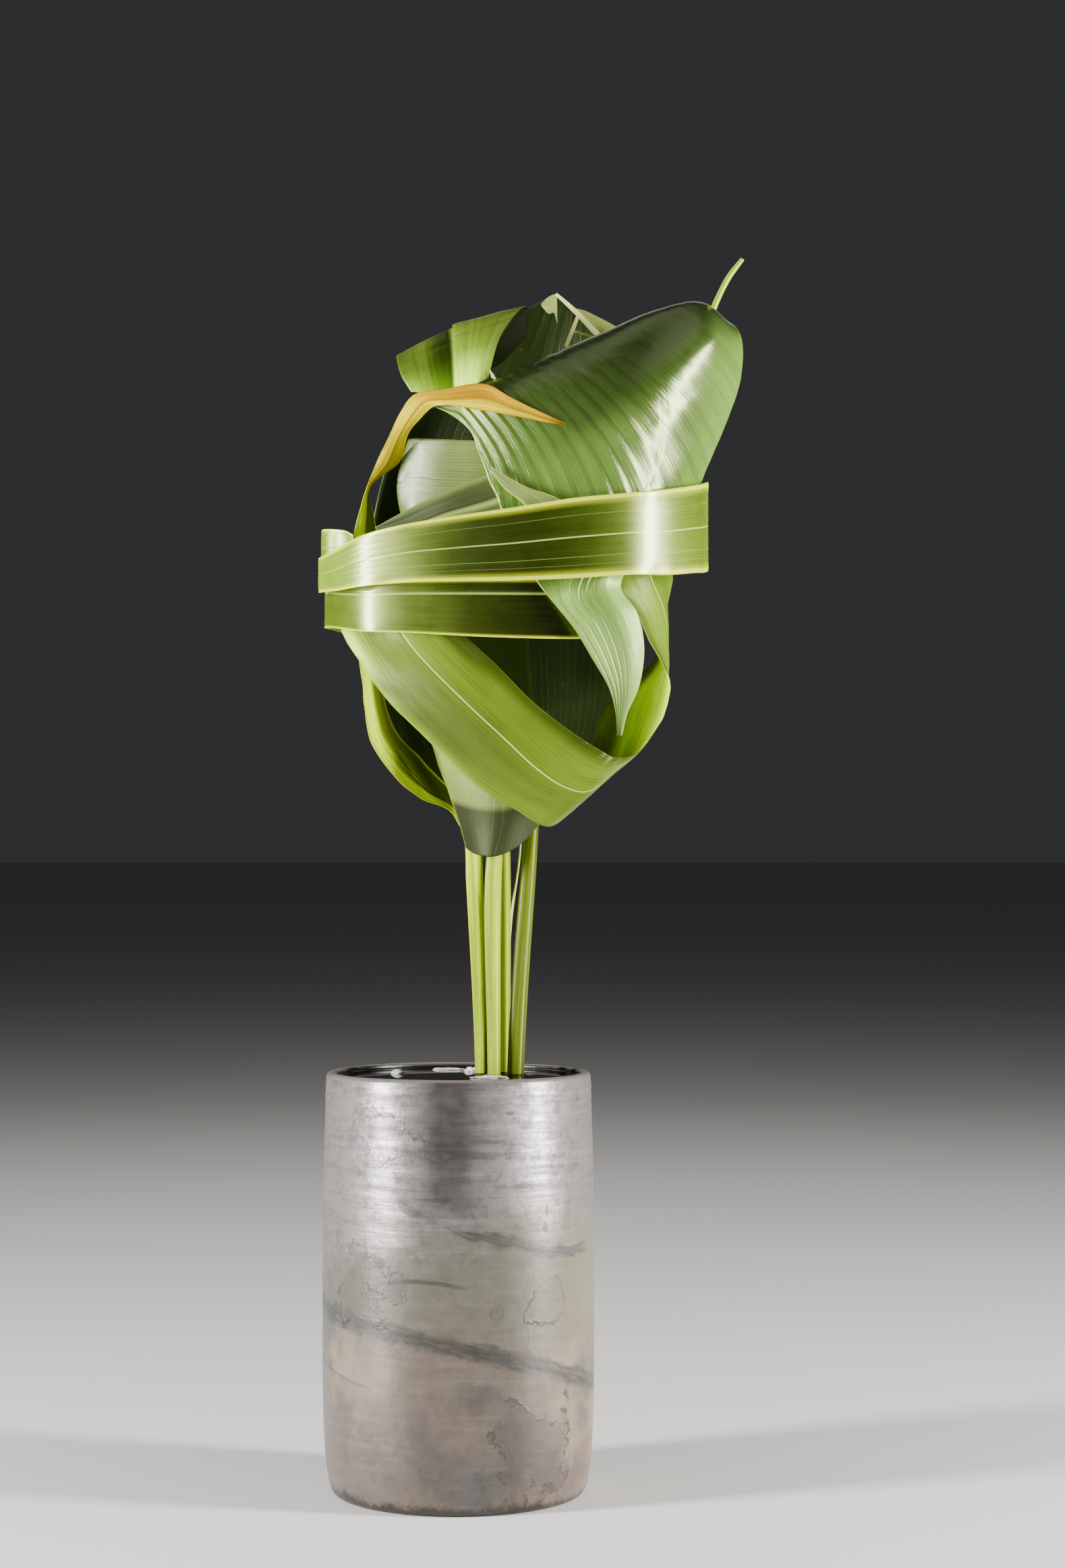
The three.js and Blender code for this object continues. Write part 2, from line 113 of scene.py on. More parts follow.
# Free leaves, as stations across the blade from its left edge seen from its upper side.
RIBBED_STATIONS = [
    [[14, -31, 483], [8, -34, 480], [-1, -35, 477], [-14, -33, 473]],
    [[28, -20, 489], [22, -34, 486], [10, -42, 475], [-4, -38, 468]],
    [[50, -12, 497], [43, -31, 496], [22, -47, 474], [5, -41, 460]],
    [[73, -5, 505], [63, -28, 505], [33, -49, 472], [8, -42, 452]],
    [[97, 5, 514], [85, -23, 515], [43, -50, 469], [11, -43, 444]],
    [[117, 7, 516], [104, -18, 519], [53, -50, 465], [13, -44, 438]],
    [[124, -8, 506], [108, -32, 500], [60, -50, 459], [16, -45, 432]],
    [[124, -6, 489], [108, -29, 482], [64, -49, 450], [18, -46, 426]],
    [[118, -6, 470], [103, -26, 461], [65, -48, 437], [21, -47, 417]],
    [[109, -7, 449], [93, -31, 440], [63, -48, 423], [27, -48, 406]],
    [[101, -19, 432], [84, -37, 423], [60, -49, 408], [34, -50, 394]],
    [[69, -46, 394], [61, -51, 394], [52, -52, 390], [41, -51, 385]],
    [[76, -47, 382], [68, -51, 381], [59, -52, 378], [49, -51, 375]],
    [[79, -45, 367], [73, -49, 366], [65, -50, 365], [57, -49, 362]],
    [[77, -43, 351], [73, -45, 350], [69, -46, 350], [64, -46, 350]],
    [[72, -40, 339], [71, -41, 339], [69, -42, 339], [67, -42, 340]],
    [[70, -37, 330], [69.4, -38, 330], [68.7, -38, 330], [68, -38, 330]],
]
LOOP_STATIONS = [
    [[9, 15, 288], [6, 12.5, 287.5], [3, 10, 287]], [[2, 18, 302], [-1, 13, 300], [-4, 8, 298]],
    [[-8, 19, 312], [-12.5, 10.5, 308], [-17, 2, 304]], [[-18, 19, 323], [-23.5, 5, 318.5], [-29, -9, 314]],
    [[-27, 18, 332], [-32.5, 2, 330], [-38, -14, 328]],
    [[-32, 18, 344], [-36.5, 3, 343.5], [-41, -12, 343]], [[-35, 16, 362], [-39, 3, 362], [-43, -10, 362]],
    [[-36, 14, 380], [-41, 5, 379.5], [-46, -4, 379]], [[-37, 8, 397], [-42.5, 2, 396.5], [-48, -4, 396]],
    [[-35, -4, 414], [-41, -8, 413], [-47, -12, 412]], [[-37, -14, 426], [-40, -17, 427], [-43, -20, 428]],
    [[-38.2, -21, 438.4], [-38.9, -21.8, 438.7], [-39.6, -22.6, 439]],
    [[-25.6, -21, 449.5], [-31.2, -26, 448.5], [-36, -27, 447]],
    [[-22, -29, 460], [-26, -30.8, 459.5], [-30, -32, 459]],
    [[-17, -33, 466], [-21, -35.4, 467.2], [-25, -36, 469]],
    [[-11, -38, 471], [-15, -40, 473], [-19, -40, 476]],
    [[-4, -43, 471], [-5, -41.6, 473.6], [-6, -43, 478]],
    [[11, -48, 468], [11.4, -45, 473.4], [11, -45, 480]],
    [[25, -52, 465], [24.4, -49.6, 468.4], [23, -50, 473]],
    [[45, -54, 461], [45, -53.8, 461.5], [45, -54, 462]],
]
DIAGONAL_STATIONS = [
    [[-12, -39.5, 386], [-32, -32, 388], [-53, -12, 390]],
    [[3, -42, 372], [-23, -35.5, 372], [-51, -14, 376]], [[17, -42, 359], [-12, -37, 359], [-43, -18, 363]],
    [[32, -42, 344], [3, -40, 344], [-32, -23, 347]], [[46, -41, 333], [19, -42, 329], [-17, -27, 332]],
    [[55, -40, 327], [33, -42, 316], [6, -31, 310]], [[62, -38, 323], [45, -42, 308], [25, -32, 298]],
    [[66, -36, 321], [55, -41, 306], [39, -30, 291]], [[75, -33, 322], [68, -34, 315], [54, -12, 306]],
    [[82, -31, 329], [79, -26, 325], [58, 0, 320]], [[89, -29, 340], [85, -16, 337], [60, 5, 331]],
    [[91, -28, 354], [89, -11, 352], [67, 7, 347]], [[88, -31, 361], [91.5, -12, 362], [84, 7, 362]],
    [[82, -35, 371], [91, -17, 372], [90, 4, 373]], [[75, -38, 384], [89, -22, 385], [92, 4, 387]],
    [[64, -40, 397], [83, -30, 398], [94, 0, 400]], [[60, -40, 410], [79, -32, 411], [94, -2, 414]],
]
CONE_STATIONS = [
    [[3, 4, 282], [8, -7, 279], [15, -12, 278], [25, -10, 282], [35, -2, 292]],
    [[0, 3, 294], [7, -9, 291], [18, -15, 290], [29, -12, 294], [38, -2, 299]],
    [[-4, 2, 305], [6, -12, 302], [19, -18, 301], [32, -15, 304], [42, -2, 308]],
    [[-9, 1, 318], [4, -15, 316], [20, -21, 316], [37, -17, 318], [49, -1, 320]],
    [[-12, 0, 328], [3, -18, 328], [21, -24, 328], [40, -18, 327], [51, 0, 329]],
]
FOLD_STATIONS = [
    [[-19, 4, 488], [-27, -14, 496.5], [-25, -24, 486.5], [-20.5, -28, 479]],
    [[-12, 8, 490], [-15, -12, 503.3], [-13, -20.5, 489.5], [-10.5, -24.5, 478.5]],
    [[-4, 10, 492], [-3, -9, 509.4], [-1.8, -16, 495], [-1, -20.5, 480]],
    [[-4, 10, 492.4], [-2.2, -13, 510.4], [-1.3, -21.5, 496], [-0.5, -26.5, 480]],
    [[4, 12, 493], [6, -13, 512.6], [5, -25.5, 497.5], [4, -30, 481]],
    [[16, 13, 496], [18, -9, 516.5], [11.5, -28, 499], [8.5, -33.4, 482]],
    [[30, 12, 508], [30, 2, 520.8], [18, -18, 504.5], [12.5, -30, 484.5]],
]
INNER_BAND_STATIONS = [
    [[10, -12, 456], [8, -12, 432]], [[-10, -14, 458], [-12, -14, 430]],
    [[-19, -18, 459], [-24, -18, 443], [-23, -18, 428]],
    [[-22, -21, 459], [-26.6, -21, 440], [-25.4, -21, 427]], [[-19, -25, 459], [-23, -25, 426]],
    [[-9, -31, 458], [-11, -31, 424]], [[7, -34.5, 457], [6, -34.5, 423]], [[21, -35, 457], [21, -35, 423]],
]
INNER_DIAGONAL_STATIONS = [
    [[-36, -30, 420], [-35, -30, 417]], [[-23, -31, 427], [-23, -35, 410]],
    [[-6, -34.5, 435], [-6, -39, 412]], [[12, -36.6, 442], [11, -42.5, 414]],
    [[27, -38, 449], [27, -46.4, 417]],
]
SMALL_TIP_STATIONS = [
    [[14, -48, 444], [13, -48, 443]], [[27, -51, 436], [19, -51, 435]], [[44, -53, 429], [28, -53, 427]],
    [[56, -53, 415], [36, -53, 413]],
]
INTERIOR_STATIONS = [
    [[28, 8, 300], [32, 8.5, 300], [36, 8, 300]], [[10, 10, 322], [34, 16, 322], [60, 13, 322]],
    [[-2, 6, 350], [32, 17, 350], [70, 12, 346]], [[-6, 2, 385], [30, 16, 385], [72, 8, 385]],
    [[-4, 2, 425], [30, 14, 425], [68, 5, 425]], [[4, 4, 460], [32, 10, 460], [56, 4, 460]],
    [[20, 8, 488], [32, 9, 490], [42, 8, 488]],
]
BACK_STATIONS = [
    [[25, 25, 300], [20, 26, 300], [15, 25, 300]], [[54, 27, 322], [20, 37, 320], [-22, 26, 317]],
    [[77, 23, 350], [21, 43, 348], [-36, 25, 345]], [[83, 20, 385], [22, 46.5, 385], [-41.6, 24.4, 385]],
    [[86, 17, 425], [22, 47.8, 425], [-39, 24, 425]], [[84, 16, 465], [24, 42, 465], [-28, 26, 465]],
    [[78, 20, 500], [34, 36, 502], [-6, 30, 500]],
    [[70, 25, 513.5], [56, 25, 521], [43.2, 24, 529.2], [33, 25.5, 525.2], [25, 27, 522]],
]
# Torn strips and flaps at the top of the back leaf, and the scrap beside the folded leaf.
STRIPS = {
    "strip_long": [[[43.8, 17.5, 529.8], [43.2, 17.5, 528.6]], [[49.6, 15, 524.6], [48.3, 15, 523.2]],
                   [[54.4, 13, 519.9], [52.9, 13, 518.2]], [[61.6, 9, 511.8], [59.6, 9, 510.2]],
                   [[64.6, 7, 508], [62.6, 7, 507]]],
    "strip_short": [[[52.2, 12.6, 518.6], [53.6, 12.6, 518]], [[49.6, 9, 512], [51.4, 9, 511.6]],
                    [[46.6, 6, 504], [48.4, 6, 503.8]]],
    "strip_cross": [[[51.6, 15, 512.6], [51.4, 15, 511.7]], [[55.6, 14, 511.4], [55.4, 14, 510.4]],
                    [[59.6, 12, 509.8], [59.4, 12, 508.9]]],
    "flap_top": [[[49.6, 17, 523.4], [51.5, 17, 520.9]], [[55.8, 17, 521.9], [55.2, 15, 516.8]],
                 [[61.5, 17, 519.2], [60, 13, 511.2]], [[69.5, 16, 514.8], [64, 11, 509.5]],
                 [[74, 15, 511.5], [70, 10, 508]]],
    "flap_apex": [[[36.8, 20, 525.2], [37.2, 20, 524]], [[39.5, 19.5, 527.8], [40.4, 18.5, 520.6]],
                  [[41.6, 19, 529], [42.4, 18, 521]], [[43.8, 18.5, 529.6], [44, 17.5, 516]]],
    "scrap_fold": [[[14, -31, 484.5], [16.4, -31, 483.5]], [[13.5, -31.4, 486.5], [15, -31.4, 486]],
                   [[12.9, -31.6, 488], [13.3, -31.6, 488]]],
}


def upright(route):
    """Stations of a band that stands on edge, from its route and its two edges."""
    return [[[x, y, top], [x, y, bottom]] for x, y, top, bottom in route]


# Settings

def colour_setting(name, text, value):
    return FloatVectorProperty(name=name, description=text, default=value, subtype="COLOR", size=3,
                               min=0, max=1)


def length_setting(name, text, value):
    return FloatProperty(name=name, description=text, unit="LENGTH", precision=5, min=0, default=value)


def power_setting(name, text, value):
    return FloatProperty(name=name, description=text, unit="POWER", min=0, default=value)


class LeafSettings(bpy.types.PropertyGroup):
    thickness: length_setting("Blade Thickness", "Thickness of a leaf away from its edges", 0.0005)
    pleat_depth: length_setting("Pleat Depth", "Height of the long ribs above the blade", 0.00040)
    edge_wave: length_setting("Edge Wave", "How far the edges of a leaf ripple", 0.0003)
    deep: colour_setting("Deep Green", "Upper side of the large dark leaf", (0.024, 0.045, 0.007))
    middle: colour_setting("Middle Green", "Upper side of the wrapped leaves", (0.064, 0.106, 0.006))
    grey: colour_setting("Grey Green", "Leaves with a dull bloom", (0.085, 0.115, 0.026))
    fresh: colour_setting("Fresh Green", "Young side of the lit leaves", (0.160, 0.230, 0.003))
    # Painted shade: a near-black green for the leaf inside the head and for the lower faces of the folded
    # leaf and the back leaf, where shade falls.
    shade: colour_setting("Shade Green", "Leaves inside the head", (0.007, 0.015, 0.002))
    # Partly the underside's own paler green, partly painted light: the bright lime stands for light coming
    # through the blade.
    lime: colour_setting("Lime", "Underside where the light comes through", (0.400, 0.560, 0.001))
    pith: colour_setting("Pith", "Torn strips that show the pale inside", (0.760, 0.790, 0.300))
    margin: colour_setting("Margin", "Pale line along the edges", (0.560, 0.640, 0.020))
    midrib: colour_setting("Midrib", "Pale line along the middle", (0.420, 0.500, 0.120))
    withered: colour_setting("Withered Yellow", "Blade that has turned yellow", (0.690, 0.560, 0.000))
    burnt: colour_setting("Dry Brown", "Dried tip and specks", (0.240, 0.085, 0.006))
    stem: colour_setting("Stem", "Petioles", (0.250, 0.340, 0.006))


class VaseSettings(bpy.types.PropertyGroup):
    throwing_depth: length_setting("Throwing Lines", "Depth of the lines left by the potter's wheel", 0.00014)
    rim_waver: length_setting("Rim Waver", "How far the rim dips below its highest point", 0.0004)
    mauve: colour_setting("Mauve Glaze", "Upper part of the vase", (0.046, 0.039, 0.037))
    khaki: colour_setting("Khaki Glaze", "Middle of the front", (0.104, 0.100, 0.058))
    tan: colour_setting("Tan Glaze", "Lower part of the vase", (0.115, 0.080, 0.050))
    slate: colour_setting("Slate Streaks", "Blue-grey drifts across the glaze", (0.014, 0.020, 0.022))
    silver: colour_setting("Silver Lustre", "Metal film on the glaze", (0.440, 0.408, 0.410))
    burnt: colour_setting("Burnt Line", "Dark lines where the glaze dried", (0.012, 0.009, 0.008))
    inside: colour_setting("Inner Glaze", "Inside of the neck", (0.014, 0.012, 0.012))


class WaterSettings(bpy.types.PropertyGroup):
    climb: length_setting("Meniscus", "How far the water climbs at the stems and the wall", 0.0009)
    depth_colour: colour_setting("Depth Colour", "Colour of the deep water", (0.0030, 0.0040, 0.0038))


class StageSettings(bpy.types.PropertyGroup):
    floor: colour_setting("Floor", "Plain floor under the vase", (0.70, 0.69, 0.67))
    side_power: power_setting("Side Lights", "Power of each soft light at the sides", 66)
    top_power: power_setting("Top Light", "Power of the soft lights above and behind", 2)
    ambient: FloatProperty(name="Ambient", description="Strength of the light from all round", default=0.035,
                           min=0)


# Curves and meshes

def smooth_through(points, shares):
    """Centripetal Catmull-Rom curve through points, read at shares of its whole number of spans."""
    points = np.asarray(points, float)
    last = len(points) - 1
    padded = np.concatenate([[2 * points[0] - points[1]], points, [2 * points[-1] - points[-2]]])
    place = np.asarray(shares, float) * last
    span = np.minimum(place.astype(int), last - 1)
    w = (place - span).reshape((-1,) + (1,) * (points.ndim - 1))
    p0, p1, p2, p3 = (padded[span + k] for k in range(4))

    def knot(a, b):
        return np.maximum(np.sqrt(np.linalg.norm(b - a, axis=-1, keepdims=True)), 1e-4)

    d0, d1, d2 = knot(p0, p1), knot(p1, p2), knot(p2, p3)
    start = ((p1 - p0) / d0 - (p2 - p0) / (d0 + d1) + (p2 - p1) / d1) * d1
    end = ((p2 - p1) / d1 - (p3 - p1) / (d1 + d2) + (p3 - p2) / d2) * d1
    return (p1 + start * w + (3 * (p2 - p1) - 2 * start - end) * w ** 2
            + (2 * (p1 - p2) + start + end) * w ** 3)


def wander(values, seed, waves=6):
    """A smooth seeded irregularity between about -1 and 1, over an array of values."""
    draw = random.Random(seed)
    total = np.zeros_like(values)
    for k in range(1, waves + 1):
        total += np.sin(k * draw.uniform(0.7, 1.3) * values + draw.uniform(0, FULL_TURN)) / k
    return total / 1.8


def step_between(values, low, high):
    """0 below low, 1 above high, smooth in between; falling where low is above high."""
    t = np.clip((values - low) / (high - low), 0, 1)
    return t * t * (3 - 2 * t)


def grid_faces(rows, columns, start=0, flip=False, wrap=False):
    """Quads over a grid of points; wrap joins the last column to the first."""
    faces = []
    for i in range(rows - 1):
        for j in range(columns if wrap else columns - 1):
            a, b = (start + i * columns + k for k in (j, (j + 1) % columns))
            c, d = b + columns, a + columns
            faces.append((a, d, c, b) if flip else (a, b, c, d))
    return faces


def closed_rings(rows, sides, flip=False):
    """Faces over rings of points, closed by a fan to each of the two points that follow them."""
    faces = grid_faces(rows, sides, flip=flip, wrap=True)
    low, high, last = rows * sides, rows * sides + 1, (rows - 1) * sides
    for k in range(sides):
        a, b = (k, (k + 1) % sides) if flip else ((k + 1) % sides, k)
        faces += [(low, a, b), (high, last + b, last + a)]
    return faces


def turned_shell(profile, sides):
    """A closed turned body; profile is radius and height from the axis round to the axis."""
    turn = np.linspace(0, FULL_TURN, sides, endpoint=False)
    radii, heights = (np.array(values)[1:-1, None] for values in zip(*profile))
    points = np.stack([radii * np.cos(turn), radii * np.sin(turn), np.repeat(heights, sides, 1)], -1)
    ends = [(0, 0, profile[0][1]), (0, 0, profile[-1][1])]
    return np.concatenate([points.reshape(-1, 3), ends]), closed_rings(len(radii), sides)


def make_object(name, points, faces, material, marks=None):
    """A shaded mesh object at the origin. marks are values for each point."""
    mesh = bpy.data.meshes.new(name)
    mesh.from_pydata([tuple(p) for p in points], [], faces)
    for label, values in (marks or {}).items():
        attribute = mesh.attributes.new(label, "FLOAT", "POINT")
        attribute.data.foreach_set("value", np.asarray(values, np.float32).ravel())
    mesh.validate()
    mesh.shade_smooth()
    mesh.materials.append(material)
    made = bpy.data.objects.new(name, mesh)
    bpy.context.scene.collection.objects.link(made)
    return made


def make_piece(name, points, faces, material, replaces=(), marks=None):
    """A visible piece that rides on the frame."""
    piece = make_object(name, points, faces, material, marks)
    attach(piece, BODY)
    if replaces:
        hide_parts(*replaces)


# The ribs over the shoulder of the ribbed leaf are arcs round this centre in x and z.
RIB_CENTRE = (-30.5 * MM, 381.8 * MM)
MAIN_RIB_RADIUS = 132 * MM
RIB_SPACING = 4.9 * MM
RIB_SPREAD = 0.018


def rib_coordinate(grid, across):
    """Where each point of the ribbed leaf lies among its ribs, in rib spacings.

    Over the shoulder the ribs spread as they fall; in the hanging tip they follow the blade. The two meet
    behind the belt.
    """
    dx, dz = grid[..., 0] - RIB_CENTRE[0], grid[..., 2] - RIB_CENTRE[1]
    spread = 1 + RIB_SPREAD * np.clip(60 - np.degrees(np.arctan2(dz, dx)), -10, 60)
    shoulder = (np.hypot(dx, dz) - MAIN_RIB_RADIUS) / spread / RIB_SPACING
    tip = 5.2 - 9 * across
    return tip + (shoulder - tip) * step_between(grid[..., 2], 398 * MM, 424 * MM)


def leaf_relief(look, grid, across, along, settings):
    """How far the blade stands off its smooth sheet, and where each point lies among the ribs."""
    edge = 2 * np.abs(across - 0.5)
    height = grid[..., 2]
    ridge, strength = 0.0, 1.0
    if "ridge" in look:
        ribs = phase = rib_coordinate(grid, across)
        strength = 0.35 + 0.65 * step_between(-ribs, -2.0, 2.5)
        strength *= 1 - 0.4 * step_between(height, 470 * MM, 500 * MM)
        hanging = step_between(-height, -410 * MM, -395 * MM)
        strength *= 1 - 0.7 * hanging * step_between(-across, -0.55, -0.35)
        ridge = np.exp(-(ribs / 0.22) ** 2) - 0.8 * np.exp(-((ribs - 0.55) / 0.35) ** 2)
        ridge *= look["ridge"] * MM * step_between(height, 430 * MM, 450 * MM)
    else:
        ribs = (along / along.max() if look["crosswise"] else across) * look["pleats"]
        phase = ribs + 0.10 * wander(along * 60 + across * 9, look["seed"])
    rise = phase % 1
    pleat = np.where(rise < 0.78, rise / 0.78, (1 - rise) / 0.22) - 0.4
    relief = settings.pleat_depth * look["pleat"] * strength * pleat * (1 - step_between(edge, 0.9, 1))
    relief += ridge
    relief -= look["groove"] * MM * np.exp(-((across - look["midrib"]) / look["midrib_width"]) ** 2)
    ripple = wander(along * 150 + across * 2, look["seed"] + 3)
    relief += settings.edge_wave * look["ripple"] * ripple * step_between(edge, 0.55, 1)
    return relief, ribs


# What the material of a leaf reads at each point. under is 1 on the lower side, stalk 1 on a petiole.
MARKS = ("across", "along", "span", "ribs", "under", "stalk")


def leaf_shell(look, settings):
    """Points, faces and marks of one blade: a closed sheet that thins towards its edges."""
    stations = [np.asarray(station, float) * MM for station in look["stations"]]
    rows, columns = (len(stations) - 1) * look["rows"] + 1, look["columns"] + 1
    shares = np.linspace(0, 1, columns)
    across_curves = np.array([smooth_through(station, shares) for station in stations])
    grid = smooth_through(across_curves, np.linspace(0, 1, rows))
    across = np.broadcast_to(shares, (rows, columns))
    steps = np.linalg.norm(np.diff(grid[:, columns // 2], axis=0), axis=-1)
    travelled = np.concatenate([[0], np.cumsum(steps)])
    along = np.broadcast_to(travelled[:, None], (rows, columns))
    normals = np.cross(np.gradient(grid, axis=1), np.gradient(grid, axis=0))
    normals /= np.maximum(np.linalg.norm(normals, axis=-1, keepdims=True), 1e-12)
    relief, ribs = leaf_relief(look, grid, across, along, settings)
    middle = grid + normals * relief[..., None]
    edge_room = np.minimum(across, 1 - across) * np.linalg.norm(grid[:, -1] - grid[:, 0], axis=-1)[:, None]
    half = settings.thickness / 2 * (0.45 + 0.55 * step_between(edge_room, 0, 2.5 * MM))[..., None]
    sides = middle + normals * half, middle - normals * half
    points = np.concatenate([side.reshape(-1, 3) for side in sides])
    count = rows * columns
    faces = grid_faces(rows, columns) + grid_faces(rows, columns, count, flip=True)
    rim = list(range(columns - 1))
    rim += [i * columns + columns - 1 for i in range(rows - 1)]
    rim += [(rows - 1) * columns + j for j in range(columns - 1, 0, -1)]
    rim += [i * columns for i in range(rows - 1, 0, -1)]
    faces += [(a, a + count, b + count, b) for a, b in zip(rim, rim[1:] + rim[:1])]
    sides = [np.tile(values.ravel(), 2) for values in (across, along, along / travelled[-1], ribs)]
    return points, faces, dict(zip(MARKS, sides + [np.repeat([0.0, 1.0], count), np.zeros(2 * count)]))


def stalk_shell(route, sides=20, steps=48):
    """Points, faces and marks of a petiole: a soft-edged tube with shallow channels along it."""
    route = np.asarray(route, float)
    shares = np.linspace(0, 1, steps + 1)
    centres = smooth_through(route[:, :3] * MM, shares)
    knots = np.column_stack([np.arange(len(route)), route[:, 3], np.zeros(len(route))])
    radii = smooth_through(knots, shares)[:, 1] * MM
    tangents = np.gradient(centres, axis=0)
    tangents /= np.linalg.norm(tangents, axis=-1, keepdims=True)
    side = np.cross(tangents, [0, 1, 0])
    side /= np.linalg.norm(side, axis=-1, keepdims=True)
    front = np.cross(side, tangents)
    turn = np.linspace(0, FULL_TURN, sides, endpoint=False)
    channel = 1 - 0.045 * (1 + np.cos(turn * 5 + 0.6)) - 0.10 * np.exp(-((turn - 4.9) / 0.35) ** 2)
    ring = side[:, None] * np.cos(turn)[None, :, None] + front[:, None] * np.sin(turn)[None, :, None]
    points = centres[:, None] + ring * (radii[:, None] * channel[None])[..., None]
    points = np.concatenate([points.reshape(-1, 3), [centres[0], centres[-1]]])
    length = np.concatenate([[0], np.cumsum(np.linalg.norm(np.diff(centres, axis=0), axis=-1))])
    around = np.append(np.tile(turn / FULL_TURN, steps + 1), [0, 0])
    along = np.append(np.repeat(length, sides), [0, length[-1]])
    none = np.zeros(len(points))
    marks = dict(zip(MARKS, (around, along, along / length[-1], none, none, none + 1)))
    return points, closed_rings(steps + 1, sides, flip=True), marks


def join_shells(*shells):
    """Several closed shells as one set of points, faces and marks."""
    points, faces, offset = [], [], 0
    for shell_points, shell_faces, _ in shells:
        points.append(shell_points)
        faces += [tuple(index + offset for index in face) for face in shell_faces]
        offset += len(shell_points)
    return np.concatenate(points), faces, {label: np.concatenate([shell[2][label] for shell in shells])
                                           for label in MARKS}


def outline(node, outer=True):
    """The turned profile of a CAD node, from the foot up: radius and height of its outer or inner wall."""
    rings = {}
    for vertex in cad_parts[node].data.vertices:
        radius = math.hypot(vertex.co.x, vertex.co.y)
        outward = (vertex.normal.x * vertex.co.x + vertex.normal.y * vertex.co.y) / max(radius, 1e-9)
        if (outward > 0.2) == outer and abs(outward) > 0.2:
            rings.setdefault(round(vertex.co.z, 5), []).append(radius)
    return [(sum(radii) / len(radii), height) for height, radii in sorted(rings.items())]


# Shader helpers

class Value:
    """A value in a shader. Arithmetic with it adds math nodes to its sheet."""

    def __init__(self, sheet, socket):
        self.sheet, self.socket = sheet, socket

    def __add__(self, other):
        return self.sheet.math("ADD", self, other)

    def __sub__(self, other):
        return self.sheet.math("SUBTRACT", self, other)

    def __rsub__(self, other):
        return self.sheet.math("SUBTRACT", other, self)

    def __mul__(self, other):
        return self.sheet.math("MULTIPLY", self, other)

    def __truediv__(self, other):
        return self.sheet.math("DIVIDE", self, other)

    def __abs__(self):
        return self.sheet.math("ABSOLUTE", self)

    def most(self, other):
        return self.sheet.math("MAXIMUM", self, other)

    def smooth(self, low, high):
        """0 to 1 as the value goes from low to high; falling where low is above high."""
        node = self.sheet.add("ShaderNodeMapRange", {"Value": self, "From Min": low, "From Max": high},
                              interpolation_type="SMOOTHSTEP")
        return Value(self.sheet, node.outputs["Result"])


# The highest factor that a ramp of tones can give.
TONE_LIMIT = 6.0


class NodeSheet:
    """Lays out the nodes of one material or group from top to bottom of the code."""

    def __init__(self, tree):
        self.tree = tree
        self.placed = 0

    def add(self, kind, inputs=None, **settings):
        node = self.tree.nodes.new(kind)
        node.location = (180 * (self.placed % 12), -240 * (self.placed // 12))
        self.placed += 1
        for key, value in settings.items():
            setattr(node, key, value)
        for socket, value in (inputs or {}).items():
            self.feed(node.inputs[socket], value)
        return node

    def feed(self, socket, value):
        if isinstance(value, Value):
            self.tree.links.new(value.socket, socket)
        elif socket.type == "RGBA" and len(value) == 3:
            socket.default_value = (*value, 1)
        else:
            socket.default_value = value

    def set(self, node, **inputs):
        for label, value in inputs.items():
            self.feed(node.inputs[label.replace("_", " ")], value)

    def math(self, operation, *values):
        node = self.add("ShaderNodeMath", dict(enumerate(values)), operation=operation)
        return Value(self, node.outputs[0])

    def mix(self, factor, first, second):
        """From one colour to another."""
        node = self.add("ShaderNodeMix", {0: factor, 6: first, 7: second}, data_type="RGBA")
        return Value(self, node.outputs[2])

    def blend(self, factor, first, second):
        """From one number to another."""
        node = self.add("ShaderNodeMix", {0: factor, 2: first, 3: second}, data_type="FLOAT")
        return Value(self, node.outputs[0])

    def scale(self, colour, factor):
        node = self.add("ShaderNodeVectorMath", {0: colour, "Scale": factor}, operation="SCALE")
        return Value(self, node.outputs[0])

    def tones(self, value, stops):
        """A factor that runs through stops of place and factor, as value goes from 0 to 1."""
        node = self.add("ShaderNodeValToRGB", {"Fac": value})
        elements = node.color_ramp.elements
        for element, place in zip(elements, (stops[0][0], stops[-1][0])):
            element.position = place
        for place, _ in stops[1:-1]:
            elements.new(place)
        for element, (_, tone) in zip(elements, stops):
            element.color = (*(tone / TONE_LIMIT,) * 3, 1)
        return Value(self, node.outputs["Color"]) * TONE_LIMIT

    def mark(self, label):
        return Value(self, self.add("ShaderNodeAttribute", attribute_name=label).outputs["Fac"])

    def place(self):
        return Value(self, self.add("ShaderNodeTexCoord").outputs["Object"])

    def split(self, vector):
        return [Value(self, part) for part in self.add("ShaderNodeSeparateXYZ", {"Vector": vector}).outputs]

    def vector(self, x, y, z=0.0):
        return Value(self, self.add("ShaderNodeCombineXYZ", {"X": x, "Y": y, "Z": z}).outputs[0])

    def noise(self, vector, scale, detail=2.0, roughness=0.5):
        node = self.add("ShaderNodeTexNoise", {"Vector": vector, "Scale": scale, "Detail": detail,
                                               "Roughness": roughness})
        return Value(self, node.outputs["Fac"])

    def bump(self, height, distance, strength):
        node = self.add("ShaderNodeBump", {"Height": height, "Distance": distance, "Strength": strength})
        return Value(self, node.outputs["Normal"])

    def use(self, group, **inputs):
        """Places a group with its own values; gives its output, or a list where it has several."""
        node = self.add("ShaderNodeGroup", node_tree=group())
        self.set(node, **inputs)
        results = [Value(self, socket) for socket in node.outputs]
        return results if len(results) > 1 else results[0]


